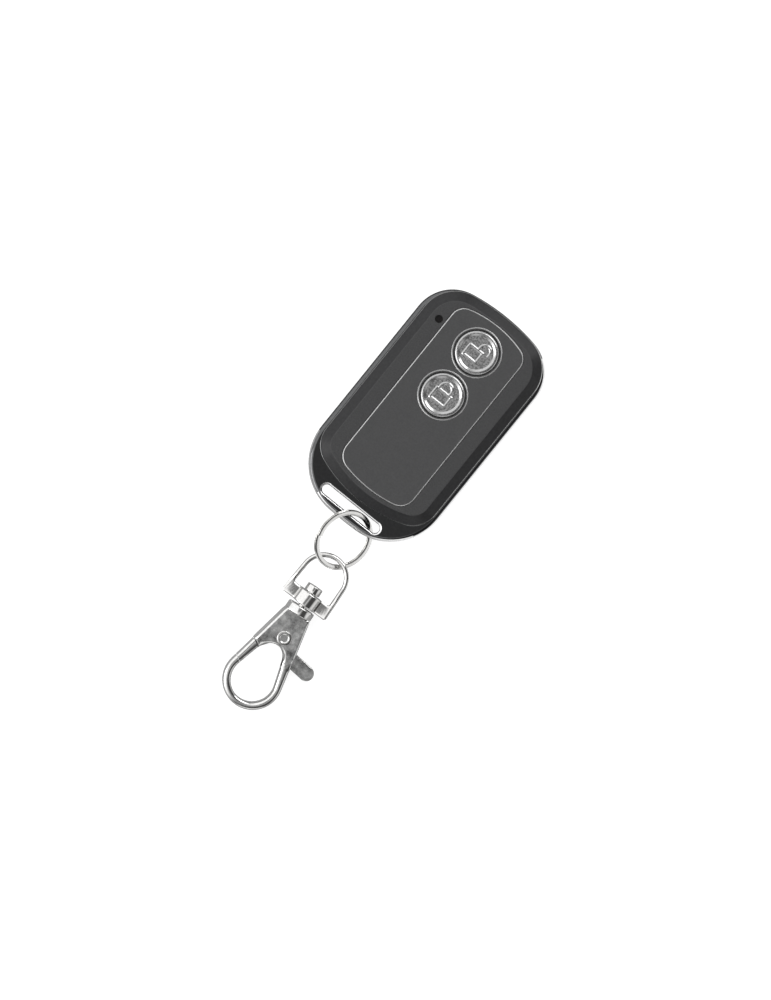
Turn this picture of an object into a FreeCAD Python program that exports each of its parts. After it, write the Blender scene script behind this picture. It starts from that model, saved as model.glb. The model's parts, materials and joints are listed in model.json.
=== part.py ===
import FreeCAD, Part
import Sketcher
import math
import os

Vector = FreeCAD.Vector
Rotation = FreeCAD.Rotation
Placement = FreeCAD.Placement

# Driving dimensions in millimetres and degrees.
# The frame's origin is the centre of the rear face, +Y points to the keys' end, +Z out of the keys.
DIMENSIONS = {
    # outline of the metal frame
    "frame_border": 1.3,
    "frame_top": 29.95,
    "frame_bottom": -30.4,
    "frame_top_curve": 50.5,
    "frame_bottom_curve": 90.0,
    "frame_top_corner": 10.0,
    "frame_bottom_corner": 14.0,
    "frame_thickness": 3.0,
    "frame_edge_round": 1.4,
    # slot of the key-ring lug
    "slot_centre": -27.1,
    "slot_length": 16.5,
    "slot_width": 2.3,
    "slot_edge_round": 0.5,
    # outline shared by both covers
    "cover_half_width": 16.0,
    "cover_top": 29.55,
    "cover_bottom": -24.3,
    "cover_top_curve": 57.0,
    "cover_bottom_curve": 33.0,
    "cover_top_corner": 8.8,
    "cover_bottom_corner": 6.5,
    "cover_wall": 2.4,
    "lip_wall": 1.2,
    "lip_depth": 1.0,
    "lip_clearance": 0.1,
    "rear_depth": 3.65,
    "rear_floor": 1.2,
    "rear_edge_cut": 1.2,
    "front_depth": 4.55,
    "front_roof": 1.75,
    "front_bevel_width": 2.25,
    "front_bevel_height": 1.6,
    # face plate
    "plate_half_width": 10.05,
    "plate_top": 27.0,
    "plate_bottom": -21.0,
    "plate_top_curve": 27.0,
    "plate_bottom_curve": 32.0,
    "plate_top_corner": 3.5,
    "plate_bottom_corner": 4.0,
    "plate_thickness": 0.6,
    "plate_recess": 0.45,
    "plate_clearance": 0.05,
    "plate_edge_cut": 0.25,
    # keys
    "unlock_key_place": 19.1,
    "lock_key_place": 6.6,
    "key_radius": 5.025,
    "key_hole_clearance": 0.23,
    "key_opening_radius": 5.62,
    "key_proud": 0.3,
    "key_edge_round": 0.6,
    "key_flange_width": 0.9,
    "key_flange_thickness": 0.6,
    "key_flange_gap": 0.1,
    "key_stem_radius": 1.5,
    "key_stem_gap": 0.05,
    "dish_radius": 4.35,
    "dish_wall": 0.34,
    "dish_depth": 0.35,
    # raised padlock icons, placed from the key's centre
    "icon_line": 0.8,
    "icon_height": 0.2,
    "icon_case_low": -2.45,
    "icon_case_high": 1.05,
    "icon_shackle_centre": 1.4,
    "lock_case_left": -2.5,
    "lock_case_right": 2.4,
    "lock_shackle_x": -0.15,
    "lock_shackle_radius": 1.9,
    "unlock_case_left": -2.75,
    "unlock_case_right": 1.65,
    "unlock_shackle_x": 1.3,
    "unlock_shackle_radius": 1.75,
    # indicator
    "indicator_x": -11.65,
    "indicator_y": 19.7,
    "indicator_hole_radius": 0.85,
    "lens_clearance": 0.05,
    "lens_recess": 0.6,
    "lens_foot_radius": 1.25,
    "lens_foot_height": 0.8,
    "led_length": 1.6,
    "led_width": 0.8,
    "led_height": 0.7,
    "led_gap": 0.1,
    # circuit board
    "clip_floor_gap": 0.05,
    "board_thickness": 1.0,
    "board_clearance": 0.25,
    "board_hole_radius": 1.2,
    # screws and their posts
    "top_screw_x": 9.5,
    "top_screw_y": 24.0,
    "bottom_screw_x": 9.3,
    "bottom_screw_y": -16.5,
    "screw_radius": 0.8,
    "screw_clearance": 0.15,
    "screw_head_radius": 1.6,
    "screw_head_height": 1.0,
    "screw_head_sunk": 0.3,
    "screw_head_clearance": 0.15,
    "screw_length": 8.3,
    "screw_recess_radius": 0.75,
    "screw_recess_half": 0.19,
    "screw_recess_depth": 0.5,
    "post_radius": 1.9,
    # coin cell and contacts
    "cell_place": -6.0,
    "cell_radius": 10.0,
    "cell_height": 3.2,
    "cell_cap_radius": 8.8,
    "cell_cap_height": 0.3,
    "contact_thickness": 0.3,
    "contact_length": 8.0,
    "contact_width": 3.0,
    "clip_thickness": 0.25,
    "clip_width": 5.0,
    "clip_side_gap": 0.9,
    "clip_foot": 1.1,
    # tact switches
    "switch_width": 5.2,
    "switch_base_height": 1.2,
    "switch_well_radius": 2.0,
    "switch_well_floor": 0.4,
    "switch_cover_thickness": 0.2,
    "switch_cover_fold": 0.6,
    "switch_leg_length": 0.9,
    "switch_leg_width": 0.7,
    "switch_leg_thickness": 0.2,
    "plunger_radius": 1.15,
    "plunger_clearance": 0.15,
    "plunger_flange_radius": 1.7,
    "plunger_flange_thickness": 0.3,
    "plunger_height": 0.8,
    "dome_radius": 1.85,
    "dome_rise": 0.35,
    "dome_thickness": 0.08,
    "dome_gap": 0.03,
    # parts on the board
    "chip_x": -5.0,
    "chip_y": -5.5,
    "chip_length": 8.6,
    "chip_width": 3.9,
    "chip_height": 1.5,
    "chip_lead_pitch": 1.27,
    "chip_lead_width": 0.4,
    "chip_lead_reach": 1.0,
    "chip_lead_thickness": 0.2,
    "resonator_x": 5.5,
    "resonator_y": -4.0,
    "resonator_width": 5.0,
    "resonator_length": 3.5,
    "resonator_height": 1.4,
    "resonator_rim": 0.3,
    "transistor_x": 6.5,
    "transistor_y": -9.5,
    "transistor_length": 2.9,
    "transistor_width": 1.3,
    "transistor_height": 1.0,
    "chip_part_length": 1.6,
    "chip_part_width": 0.8,
    "resistor_height": 0.45,
    "capacitor_height": 0.8,
    "chip_part_pitch": 2.0,
    "resistor_row": -11.0,
    "capacitor_row": -14.0,
    "antenna_width": 0.9,
    "antenna_thickness": 0.1,
    "antenna_inset": 0.3,
    # split ring
    "ring_outer_radius": 7.5,
    "ring_wire_width": 1.2,
    "ring_wire_thickness": 0.38,
    "ring_turn_gap": 0.04,
    "ring_turns": 2.0,
    "ring_end_angle": 202.0,
    "ring_x": 3.17,
    "ring_slot_gap": 0.3,
    "ring_tilt": 38.0,
    "ring_floor_gap": 0.03,
    # swivel, shared by bow, stud and hook
    "swivel_x": 5.3,
    "bow_hang": 8.85,
    "hook_lean": 4.7,
    "hook_roll": 10.0,
    "bow_lean": 2.0,
    "bow_roll": 5.0,
    "rest_gap": 0.05,
    # bow
    "bow_arch_radius": 5.9,
    "bow_foot_half_width": 6.27,
    "bow_wire_width": 1.15,
    "bow_wire_depth": 1.5,
    "bow_wire_round": 0.45,
    "bow_leg_top": 6.65,
    "bow_bar_top": 2.0,
    "bow_bar_bottom": -1.25,
    "bow_boss_radius": 3.2,
    "stud_radius": 1.1,
    "stud_clearance": 0.2,
    "stud_head_radius": 1.95,
    "stud_head_height": 1.75,
    "stud_head_gap": 0.2,
    "stud_head_cut": 0.2,
    "stud_tail": 1.3,
    # hook body
    "collar_radius": 3.42,
    "collar_top": -1.75,
    "collar_height": 2.0,
    "collar_edge_cut": 0.3,
    "plate_top_half_width": 3.1,
    "hook_side_angle": 12.1,
    "hook_plate_thickness": 4.6,
    "hook_plate_round": 0.7,
    "hook_plate_overlap": 0.4,
    "hook_face_end": -12.4,
    "hook_face_fall": 2.6,
    "hook_face_step": 0.05,
    "hook_knee": -4.6,
    "hook_ring_overlap": 1.5,
    "hook_right_leg_end": -16.2,
    "hook_left_leg_outer": -13.75,
    "hook_left_leg_inner": -14.95,
    "eye_top_centre": -15.6,
    "eye_top_radius": 3.4,
    "eye_bottom_centre": -22.05,
    "eye_bottom_radius": 5.2,
    "hook_ring_width": 1.85,
    "hook_ring_thickness": 3.0,
    "hook_ring_round": 0.8,
    "nose_outer": -19.3,
    "nose_inner": -20.3,
    "trigger_slot_width": 1.9,
    "trigger_slot_top": -7.2,
    "trigger_slot_bottom": -15.8,
    # trigger
    "rivet_x": 0.3,
    "rivet_y": -9.95,
    "rivet_radius": 1.0,
    "rivet_clearance": 0.06,
    "rivet_head_radius": 1.75,
    "rivet_head_height": 0.25,
    "rivet_dimple_radius": 1.1,
    "rivet_dimple_depth": 0.15,
    "trigger_thickness": 1.6,
    "trigger_hub_radius": 1.95,
    "gate_gap": 0.12,
    "lever_end_x": 9.54,
    "lever_end_y": -14.05,
    "lever_end_radius": 1.8,
    "lever_tilt": 7.5,
    "lever_upper_root": -11.6,
    "lever_lower_root": -15.3,
    # the web that joins lever, hub and gate inside the hook's slot
    "web_lever_step": 0.7,
    "web_lever_rise": 0.35,
    "web_waist_half": 1.0,
    "web_waist_rise": 0.25,
    "web_throat_inset": 0.3,
    "web_throat_rise": 0.4,
    "web_tongue_low": -15.6,
    "web_tongue_root": -15.2,
    "web_tongue_inset": 0.5,
    "web_flank_high": -13.6,
    "web_flank_inset": 0.35,
    "web_shoulder_reach": 2.0,
    "web_shoulder_rise": 0.75,
    "web_crest_rise": 1.3,
    # trigger spring
    "spring_x": 3.05,
    "spring_seat": -10.1,
    "spring_seat_width": 1.7,
    "spring_coil_radius": 0.6,
    "spring_wire_radius": 0.12,
    "spring_turns": 3.5,
    "spring_end_gap": 0.03,
}

SHEET_NAME = "Sizes"
PARTS_FOLDER = "parts"


# A number that also carries its formula in the sheet's aliases.
class Size:
    def __init__(self, value, formula):
        self.value = value
        self.formula = formula

    def __float__(self):
        return self.value

    def __neg__(self):
        return Size(-self.value, f"-1 * ({self.formula})")

    def __add__(self, other):
        other = as_size(other)
        return Size(self.value + other.value, f"({self.formula} + {other.formula})")

    def __sub__(self, other):
        other = as_size(other)
        return Size(self.value - other.value, f"({self.formula} - {other.formula})")

    def __mul__(self, other):
        other = as_size(other)
        return Size(self.value * other.value, f"({self.formula} * {other.formula})")

    def __truediv__(self, other):
        other = as_size(other)
        return Size(self.value / other.value, f"({self.formula} / {other.formula})")

    __radd__ = __add__
    __rmul__ = __mul__

    def __rsub__(self, other):
        return as_size(other) - self


def as_size(number):
    if isinstance(number, Size):
        return number
    return Size(float(number), f"({float(number)})")


# The sizes read back from the sheet, one attribute for each alias.
class Sizes:
    pass


def make_sheet(doc):
    sheet = doc.addObject("Spreadsheet::Sheet", SHEET_NAME)
    for row, (alias, value) in enumerate(DIMENSIONS.items(), start=1):
        sheet.set(f"A{row}", alias)
        sheet.set(f"B{row}", str(value))
        sheet.setAlias(f"B{row}", alias)
    doc.recompute()
    sizes = Sizes()
    for alias in DIMENSIONS:
        setattr(sizes, alias, Size(float(sheet.get(alias)), f"{SHEET_NAME}.{alias}"))
    return sizes


doc = FreeCAD.newDocument("remote_control")
s = make_sheet(doc)
nodes = []


def bind(obj, path, size):
    obj.setExpression(path, as_size(size).formula)


# Lines, arcs and circles of one sketch, with the rules that hold them.
class Pen:
    def __init__(self, sketch):
        self.sketch = sketch
        self.rules = []
        self.bound = []

    def line(self, start, end):
        first = Vector(float(start[0]), float(start[1]), 0)
        last = Vector(float(end[0]), float(end[1]), 0)
        return self.sketch.addGeometry(Part.LineSegment(first, last))

    def arc(self, centre, radius, start_angle, end_angle):
        middle = Vector(float(centre[0]), float(centre[1]), 0)
        circle = Part.Circle(middle, Vector(0, 0, 1), float(radius))
        return self.sketch.addGeometry(Part.ArcOfCircle(circle, start_angle, end_angle))

    def circle(self, centre, radius):
        middle = Vector(float(centre[0]), float(centre[1]), 0)
        index = self.sketch.addGeometry(Part.Circle(middle, Vector(0, 0, 1), float(radius)))
        self.radius(index, radius)
        self.place(index, 3, centre)

    def rule(self, kind, *where):
        self.rules.append(Sketcher.Constraint(kind, *where))

    def measure(self, kind, where, size):
        self.bound.append((len(self.rules), size))
        self.rules.append(Sketcher.Constraint(kind, *where, float(size)))

    def radius(self, index, size):
        self.measure("Radius", (index,), size)

    def place(self, index, end, point):
        for kind, axis, size in (("DistanceX", -2, point[0]), ("DistanceY", -1, point[1])):
            if abs(float(size)) < 1e-9:
                self.rule("PointOnObject", index, end, axis)
            else:
                self.measure(kind, (index, end), size)

    def finish(self):
        self.sketch.addConstraint(self.rules)
        for index, size in self.bound:
            bind(self.sketch, f"Constraints[{index}]", size)


def draw_polygon(pen, points):
    lines = [pen.line(points[i - 1], points[i]) for i in range(1, len(points))]
    lines.append(pen.line(points[-1], points[0]))
    for i, index in enumerate(lines):
        pen.rule("Coincident", index, 2, lines[(i + 1) % len(lines)], 1)
        pen.place(index, 1, points[i])


def draw_rectangle(pen, left, right, low, high):
    draw_polygon(pen, [(left, low), (right, low), (right, high), (left, high)])


# A slot along X: two half circles joined by tangent lines.
def draw_slot(pen, centre_y, length, width):
    reach = (length - width) / 2
    radius = width / 2
    upper = pen.line((-reach, centre_y + radius), (reach, centre_y + radius))
    right = pen.arc((reach, centre_y), radius, -math.pi / 2, math.pi / 2)
    lower = pen.line((reach, centre_y - radius), (-reach, centre_y - radius))
    left = pen.arc((-reach, centre_y), radius, math.pi / 2, 3 * math.pi / 2)
    pen.rule("Tangent", upper, 2, right, 2)
    pen.rule("Tangent", lower, 1, right, 1)
    pen.rule("Tangent", lower, 2, left, 2)
    pen.rule("Tangent", upper, 1, left, 1)
    pen.radius(right, radius)
    pen.place(right, 3, (reach, centre_y))
    pen.place(left, 3, (-reach, centre_y))


# The seven sizes of an outline with bowed ends, round corners and straight sides.
class Outline:
    def __init__(self, half_width, top, bottom, top_curve, bottom_curve, top_corner, bottom_corner):
        self.half_width = half_width
        self.top = top
        self.bottom = bottom
        self.top_curve = top_curve
        self.bottom_curve = bottom_curve
        self.top_corner = top_corner
        self.bottom_corner = bottom_corner

    def inset(self, distance):
        return Outline(
            self.half_width - distance,
            self.top - distance,
            self.bottom + distance,
            self.top_curve - distance,
            self.bottom_curve - distance,
            self.top_corner - distance,
            self.bottom_corner - distance,
        )

    def draw(self, pen):
        top_mid = self.top - self.top_curve
        bottom_mid = self.bottom + self.bottom_curve
        width = float(self.half_width)

        # each corner's centre follows from its tangency to the side and the bowed end
        def corner(end_mid, curve, radius, toward):
            across = width - float(radius)
            along = math.sqrt((float(curve) - float(radius)) ** 2 - across**2)
            return across, float(end_mid) + toward * along, math.atan2(along, across)

        top_x, top_y, top_angle = corner(top_mid, self.top_curve, self.top_corner, 1)
        low_x, low_y, low_angle = corner(bottom_mid, self.bottom_curve, self.bottom_corner, -1)
        half_turn = math.pi
        low_end = pen.arc((0, bottom_mid), self.bottom_curve, half_turn + low_angle, -low_angle)
        low_right = pen.arc((low_x, low_y), self.bottom_corner, -low_angle, 0)
        right = pen.line((width, low_y), (width, top_y))
        top_right = pen.arc((top_x, top_y), self.top_corner, 0, top_angle)
        top_end = pen.arc((0, top_mid), self.top_curve, top_angle, half_turn - top_angle)
        top_left = pen.arc((-top_x, top_y), self.top_corner, half_turn - top_angle, half_turn)
        left = pen.line((-width, top_y), (-width, low_y))
        low_left = pen.arc((-low_x, low_y), self.bottom_corner, half_turn, half_turn + low_angle)
        chain = [low_end, low_right, right, top_right, top_end, top_left, left, low_left]
        for i, index in enumerate(chain):
            pen.rule("Tangent", index, 2, chain[(i + 1) % len(chain)], 1)
        pen.rule("Equal", low_right, low_left)
        pen.rule("Equal", top_right, top_left)
        pen.radius(low_end, self.bottom_curve)
        pen.radius(top_end, self.top_curve)
        pen.radius(low_right, self.bottom_corner)
        pen.radius(top_right, self.top_corner)
        pen.place(low_end, 3, (0, bottom_mid))
        pen.place(top_end, 3, (0, top_mid))
        pen.measure("DistanceX", (right, 1), self.half_width)
        pen.measure("DistanceX", (left, 1), -self.half_width)


FRAME = Outline(
    s.cover_half_width + s.frame_border,
    s.frame_top,
    s.frame_bottom,
    s.frame_top_curve,
    s.frame_bottom_curve,
    s.frame_top_corner,
    s.frame_bottom_corner,
)
COVER = Outline(
    s.cover_half_width,
    s.cover_top,
    s.cover_bottom,
    s.cover_top_curve,
    s.cover_bottom_curve,
    s.cover_top_corner,
    s.cover_bottom_corner,
)
PLATE = Outline(
    s.plate_half_width,
    s.plate_top,
    s.plate_bottom,
    s.plate_top_curve,
    s.plate_bottom_curve,
    s.plate_top_corner,
    s.plate_bottom_corner,
)
CAVITY = COVER.inset(s.cover_wall)
LIP = COVER.inset(s.cover_wall - s.lip_wall)
OPENING = COVER.inset(s.cover_wall - s.lip_wall - s.lip_clearance)

# heights above the rear face
frame_low = s.rear_depth
frame_high = s.rear_depth + s.frame_thickness
cover_high = frame_high + s.front_depth
plate_low = cover_high - s.plate_recess
plate_high = plate_low + s.plate_thickness
roof_low = cover_high - s.front_roof
cell_low = s.rear_floor + s.clip_floor_gap + s.clip_thickness
board_low = cell_low + s.cell_height + s.contact_thickness
board_high = board_low + s.board_thickness
key_high = plate_high + s.key_proud
hook_ring_radius = s.eye_bottom_radius + s.hook_ring_width
screw_places = [
    (s.top_screw_x, s.top_screw_y),
    (-s.top_screw_x, s.top_screw_y),
    (s.bottom_screw_x, s.bottom_screw_y),
    (-s.bottom_screw_x, s.bottom_screw_y),
]
key_places = {"unlock": s.unlock_key_place, "lock": s.lock_key_place}

# each icon's case sides, and its shackle's middle and radius
icon_sizes = {
    "unlock": (
        s.unlock_case_left,
        s.unlock_case_right,
        s.unlock_shackle_x,
        s.unlock_shackle_radius,
    ),
    "lock": (
        s.lock_case_left,
        s.lock_case_right,
        s.lock_shackle_x,
        s.lock_shackle_radius,
    ),
}


def new_body(name):
    body = doc.addObject("PartDesign::Body", name)
    body.Label = name
    nodes.append(body)
    return body


# Sketch on one of the body's own origin planes, lifted off it by a size.
def new_sketch(body, name, draw, role="XY_Plane", lift=0):
    sketch = body.newObject("Sketcher::SketchObject", f"{body.Name}_{name}_sketch")
    base = [item for item in body.Origin.OriginFeatures if item.Role == role]
    sketch.AttachmentSupport = [(base[0], "")]
    sketch.MapMode = "FlatFace"
    bind(sketch, "AttachmentOffset.Base.z", lift)
    pen = Pen(sketch)
    draw(pen)
    pen.finish()
    return sketch


def pad(body, name, draw, low, height, role="XY_Plane"):
    sketch = new_sketch(body, name, draw, role, low)
    feature = body.newObject("PartDesign::Pad", f"{body.Name}_{name}")
    feature.Profile = sketch
    feature.Length = float(height)
    bind(feature, "Length", height)
    return feature


def pocket(body, name, draw, low, height, role="XY_Plane"):
    sketch = new_sketch(body, name, draw, role, low)
    feature = body.newObject("PartDesign::Pocket", f"{body.Name}_{name}")
    feature.Profile = sketch
    feature.Length = float(height)
    feature.Reversed = True
    bind(feature, "Length", height)
    return feature


# Turns a profile drawn on the XZ plane about that plane's upright axis.
def revolve(body, name, draw, role="XZ_Plane", axis="V_Axis"):
    sketch = new_sketch(body, name, draw, role)
    feature = body.newObject("PartDesign::Revolution", f"{body.Name}_{name}")
    feature.Profile = sketch
    feature.ReferenceAxis = (sketch, [axis])
    feature.Angle = 360.0
    return feature


def edges_where(body, test):
    doc.recompute()
    shape = body.Tip.Shape
    return [f"Edge{i}" for i, edge in enumerate(shape.Edges, start=1) if test(edge)]


def at_height(height):
    def test(edge):
        box = edge.BoundBox
        return abs(box.ZMin - float(height)) < 1e-4 and abs(box.ZMax - float(height)) < 1e-4

    return test


def round_edges(body, name, radius, test):
    picked = edges_where(body, test)
    base = body.Tip
    feature = body.newObject("PartDesign::Fillet", f"{body.Name}_{name}")
    feature.Base = (base, picked)
    feature.Radius = float(radius)
    bind(feature, "Radius", radius)
    return feature


def cut_edges(body, name, size, test):
    picked = edges_where(body, test)
    base = body.Tip
    feature = body.newObject("PartDesign::Chamfer", f"{body.Name}_{name}")
    feature.Base = (base, picked)
    feature.Size = float(size)
    bind(feature, "Size", size)
    return feature


def draw_discs(places, radius):
    def draw(pen):
        for place in places:
            pen.circle(place, radius)

    return draw


def draw_ring(outer, inner):
    def draw(pen):
        outer.draw(pen)
        inner.draw(pen)

    return draw


def make_rear_cover():
    body = new_body("rear_cover")
    pad(body, "shell", COVER.draw, 0, s.rear_depth)
    cut_edges(body, "edge", s.rear_edge_cut, at_height(0))
    pocket(body, "hollow", CAVITY.draw, s.rear_floor, s.rear_depth - s.rear_floor)
    pad(body, "lip", draw_ring(LIP, CAVITY), s.rear_depth, s.lip_depth)
    posts = draw_discs(screw_places, s.post_radius)
    pad(body, "posts", posts, s.rear_floor, board_low - s.rear_floor)
    shanks = draw_discs(screw_places, s.screw_radius + s.screw_clearance)
    pocket(body, "shank_holes", shanks, 0, board_low)
    heads = draw_discs(screw_places, s.screw_head_radius + s.screw_head_clearance)
    pocket(body, "head_wells", heads, 0, s.screw_head_sunk + s.screw_head_height)


def make_chrome_frame():
    body = new_body("chrome_frame")
    pad(body, "band", FRAME.draw, frame_low, s.frame_thickness)
    low = at_height(frame_low)
    high = at_height(frame_high)
    round_edges(body, "edge", s.frame_edge_round, lambda edge: low(edge) or high(edge))
    pocket(body, "opening", OPENING.draw, frame_low, s.frame_thickness)

    def slot(pen):
        draw_slot(pen, s.slot_centre, s.slot_length, s.slot_width)

    pocket(body, "slot", slot, frame_low, s.frame_thickness)

    def slot_edge(edge):
        box = edge.BoundBox
        near = float(s.slot_centre + s.slot_width)
        far = float(s.slot_centre - s.slot_width)
        return (low(edge) or high(edge)) and far < box.YMin and box.YMax < near

    round_edges(body, "slot_edges", s.slot_edge_round, slot_edge)


def make_front_cover():
    body = new_body("front_cover")
    pad(body, "shell", COVER.draw, frame_high, s.front_depth)
    picked = edges_where(body, at_height(cover_high))
    base = body.Tip
    bevel = body.newObject("PartDesign::Chamfer", "front_cover_bevel")
    bevel.Base = (base, picked)
    bevel.ChamferType = "Two distances"
    bevel.Size = float(s.front_bevel_width)
    bevel.Size2 = float(s.front_bevel_height)
    bind(bevel, "Size", s.front_bevel_width)
    bind(bevel, "Size2", s.front_bevel_height)
    pocket(body, "hollow", CAVITY.draw, frame_high, roof_low - frame_high)
    pad(body, "lip", draw_ring(LIP, CAVITY), frame_high - s.lip_depth, s.lip_depth)
    pocket(body, "recess", PLATE.inset(-s.plate_clearance).draw, plate_low, s.plate_recess)
    keys = [(0, place) for place in key_places.values()]
    key_holes = draw_discs(keys, s.key_radius + s.key_hole_clearance)
    pocket(body, "key_holes", key_holes, roof_low, s.front_roof)
    posts = draw_discs(screw_places, s.post_radius)
    pad(body, "posts", posts, board_high, roof_low - board_high)
    shanks = draw_discs(screw_places, s.screw_radius)
    pocket(body, "thread_holes", shanks, board_high, roof_low - board_high)
    lamp = [(s.indicator_x, s.indicator_y)]
    pocket(body, "lamp_hole", draw_discs(lamp, s.indicator_hole_radius), roof_low, s.front_roof)


def make_face_plate():
    body = new_body("face_plate")
    pad(body, "sheet", PLATE.draw, plate_low, s.plate_thickness)
    keys = [(0, place) for place in key_places.values()]
    pocket(body, "openings", draw_discs(keys, s.key_opening_radius), plate_low, s.plate_thickness)
    cut_edges(body, "bright_edge", s.plate_edge_cut, at_height(plate_high))


def make_circuit_board():
    body = new_body("circuit_board")
    outline = CAVITY.inset(s.board_clearance)
    pad(body, "sheet", outline.draw, board_low, s.board_thickness)
    holes = draw_discs(screw_places, s.board_hole_radius)
    pocket(body, "screw_holes", holes, board_low, s.board_thickness)


def make_case_screws():
    head_low = s.screw_head_sunk
    head_high = s.screw_head_sunk + s.screw_head_height
    body = new_body("case_screws")
    pad(body, "heads", draw_discs(screw_places, s.screw_head_radius), head_low, s.screw_head_height)
    shank_length = s.screw_length - s.screw_head_height
    pad(body, "shanks", draw_discs(screw_places, s.screw_radius), head_high, shank_length)

    def crosses(pen):
        for x, y in screw_places:
            arm = s.screw_recess_radius
            half = s.screw_recess_half
            draw_polygon(
                pen,
                [
                    (x - half, y - arm),
                    (x + half, y - arm),
                    (x + half, y - half),
                    (x + arm, y - half),
                    (x + arm, y + half),
                    (x + half, y + half),
                    (x + half, y + arm),
                    (x - half, y + arm),
                    (x - half, y + half),
                    (x - arm, y + half),
                    (x - arm, y - half),
                    (x - half, y - half),
                ],
            )

    pocket(body, "recesses", crosses, head_low, s.screw_recess_depth)


def make_coin_cell():
    shoulder = cell_low + s.cell_height - s.cell_cap_height
    top = cell_low + s.cell_height
    profile = [
        (0, cell_low),
        (s.cell_radius, cell_low),
        (s.cell_radius, shoulder),
        (s.cell_cap_radius, shoulder),
        (s.cell_cap_radius, top),
        (0, top),
    ]
    body = new_body("coin_cell")
    revolve(body, "can", lambda pen: draw_polygon(pen, profile))
    body.Placement = Placement(Vector(0, float(s.cell_place), 0), Rotation())


# Strap under the cell whose feet are soldered to the board's underside.
def make_battery_clip():
    reach = s.cell_radius + s.clip_side_gap
    outer = reach + s.clip_thickness
    foot = outer + s.clip_foot
    low = cell_low - s.clip_thickness
    sole = board_low - s.clip_thickness
    profile = [
        (-foot, sole),
        (-reach - s.clip_thickness, sole),
        (-outer, low),
        (outer, low),
        (outer, sole),
        (foot, sole),
        (foot, board_low),
        (reach, board_low),
        (reach, cell_low),
        (-reach, cell_low),
        (-reach, board_low),
        (-foot, board_low),
    ]
    body = new_body("battery_clip")
    front = -s.cell_place - s.clip_width / 2
    pad(body, "strap", lambda pen: draw_polygon(pen, profile), front, s.clip_width, "XZ_Plane")


def make_battery_contact():
    body = new_body("battery_contact")
    low = board_low - s.contact_thickness
    pad(
        body,
        "leaf",
        lambda pen: draw_slot(pen, s.cell_place, s.contact_length, s.contact_width),
        low,
        s.contact_thickness,
    )


def make_switch(name, place):
    half = s.switch_width / 2
    base_high = board_high + s.switch_base_height
    well_low = board_high + s.switch_well_floor
    centre = [(0, place)]

    def block(pen):
        draw_rectangle(pen, -half, half, place - half, place + half)

    base = new_body(f"{name}_switch_base")
    pad(base, "block", block, board_high, s.switch_base_height)
    well_depth = s.switch_base_height - s.switch_well_floor
    pocket(base, "well", draw_discs(centre, s.switch_well_radius), well_low, well_depth)

    def legs(pen):
        for side in (-1, 1):
            for row in (-1, 1):
                inner = half * side
                outer = (half + s.switch_leg_length) * side
                middle = place + (half - s.switch_leg_width) * row
                left, right = (outer, inner) if side < 0 else (inner, outer)
                leg_half = s.switch_leg_width / 2
                draw_rectangle(pen, left, right, middle - leg_half, middle + leg_half)

    pad(base, "legs", legs, board_high, s.switch_leg_thickness)

    cover = new_body(f"{name}_switch_cover")
    sheet = s.switch_cover_thickness

    def lid(pen):
        draw_rectangle(pen, -half, half, place - half - sheet, place + half + sheet)

    pad(cover, "sheet", lid, base_high, sheet)

    def folds(pen):
        draw_rectangle(pen, -half / 2, half / 2, place + half, place + half + sheet)
        draw_rectangle(pen, -half / 2, half / 2, place - half - sheet, place - half)

    pad(cover, "folds", folds, base_high - s.switch_cover_fold, s.switch_cover_fold)
    pocket(cover, "hole", draw_discs(centre, s.plunger_radius + s.plunger_clearance), base_high, sheet)

    plunger_low = well_low + s.dome_rise + s.dome_thickness + s.dome_gap
    flange_high = plunger_low + s.plunger_flange_thickness
    plunger = new_body(f"{name}_switch_plunger")
    flange = draw_discs(centre, s.plunger_flange_radius)
    pad(plunger, "flange", flange, plunger_low, s.plunger_flange_thickness)
    pad(plunger, "stem", draw_discs(centre, s.plunger_radius), flange_high, s.plunger_height)

    # a shallow spherical cap of thin sheet, its rim on the well's floor
    rise = float(s.dome_rise)
    reach = float(s.dome_radius)
    ball = (reach**2 + rise**2) / (2 * rise)
    rim_angle = math.asin(reach / ball)

    def section(pen):
        mid = well_low + s.dome_rise - ball
        outer = ball + s.dome_thickness
        low = pen.arc((0, mid), ball, math.pi / 2 - rim_angle, math.pi / 2)
        high = pen.arc((0, mid), outer, math.pi / 2 - rim_angle, math.pi / 2)
        top = float(mid)
        inner_rim = (ball * math.sin(rim_angle), top + ball * math.cos(rim_angle))
        outer_rim = (float(outer) * math.sin(rim_angle), top + float(outer) * math.cos(rim_angle))
        rim = pen.line(inner_rim, outer_rim)
        axis = pen.line((0, top + float(outer)), (0, top + ball))
        pen.rule("Coincident", low, 1, rim, 1)
        pen.rule("Coincident", rim, 2, high, 1)
        pen.rule("Coincident", high, 2, axis, 1)
        pen.rule("Coincident", axis, 2, low, 2)

    dome = new_body(f"{name}_switch_dome")
    revolve(dome, "cap", section)
    dome.Placement = Placement(Vector(0, float(place), 0), Rotation())
    return flange_high + s.plunger_height


# A rectangle drawn as one stroke of the icon's line width.
def draw_stroke_box(pen, left, right, low, high):
    line = s.icon_line
    draw_rectangle(pen, left, right, low, high)
    draw_rectangle(pen, left + line, right - line, low + line, high - line)


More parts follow.
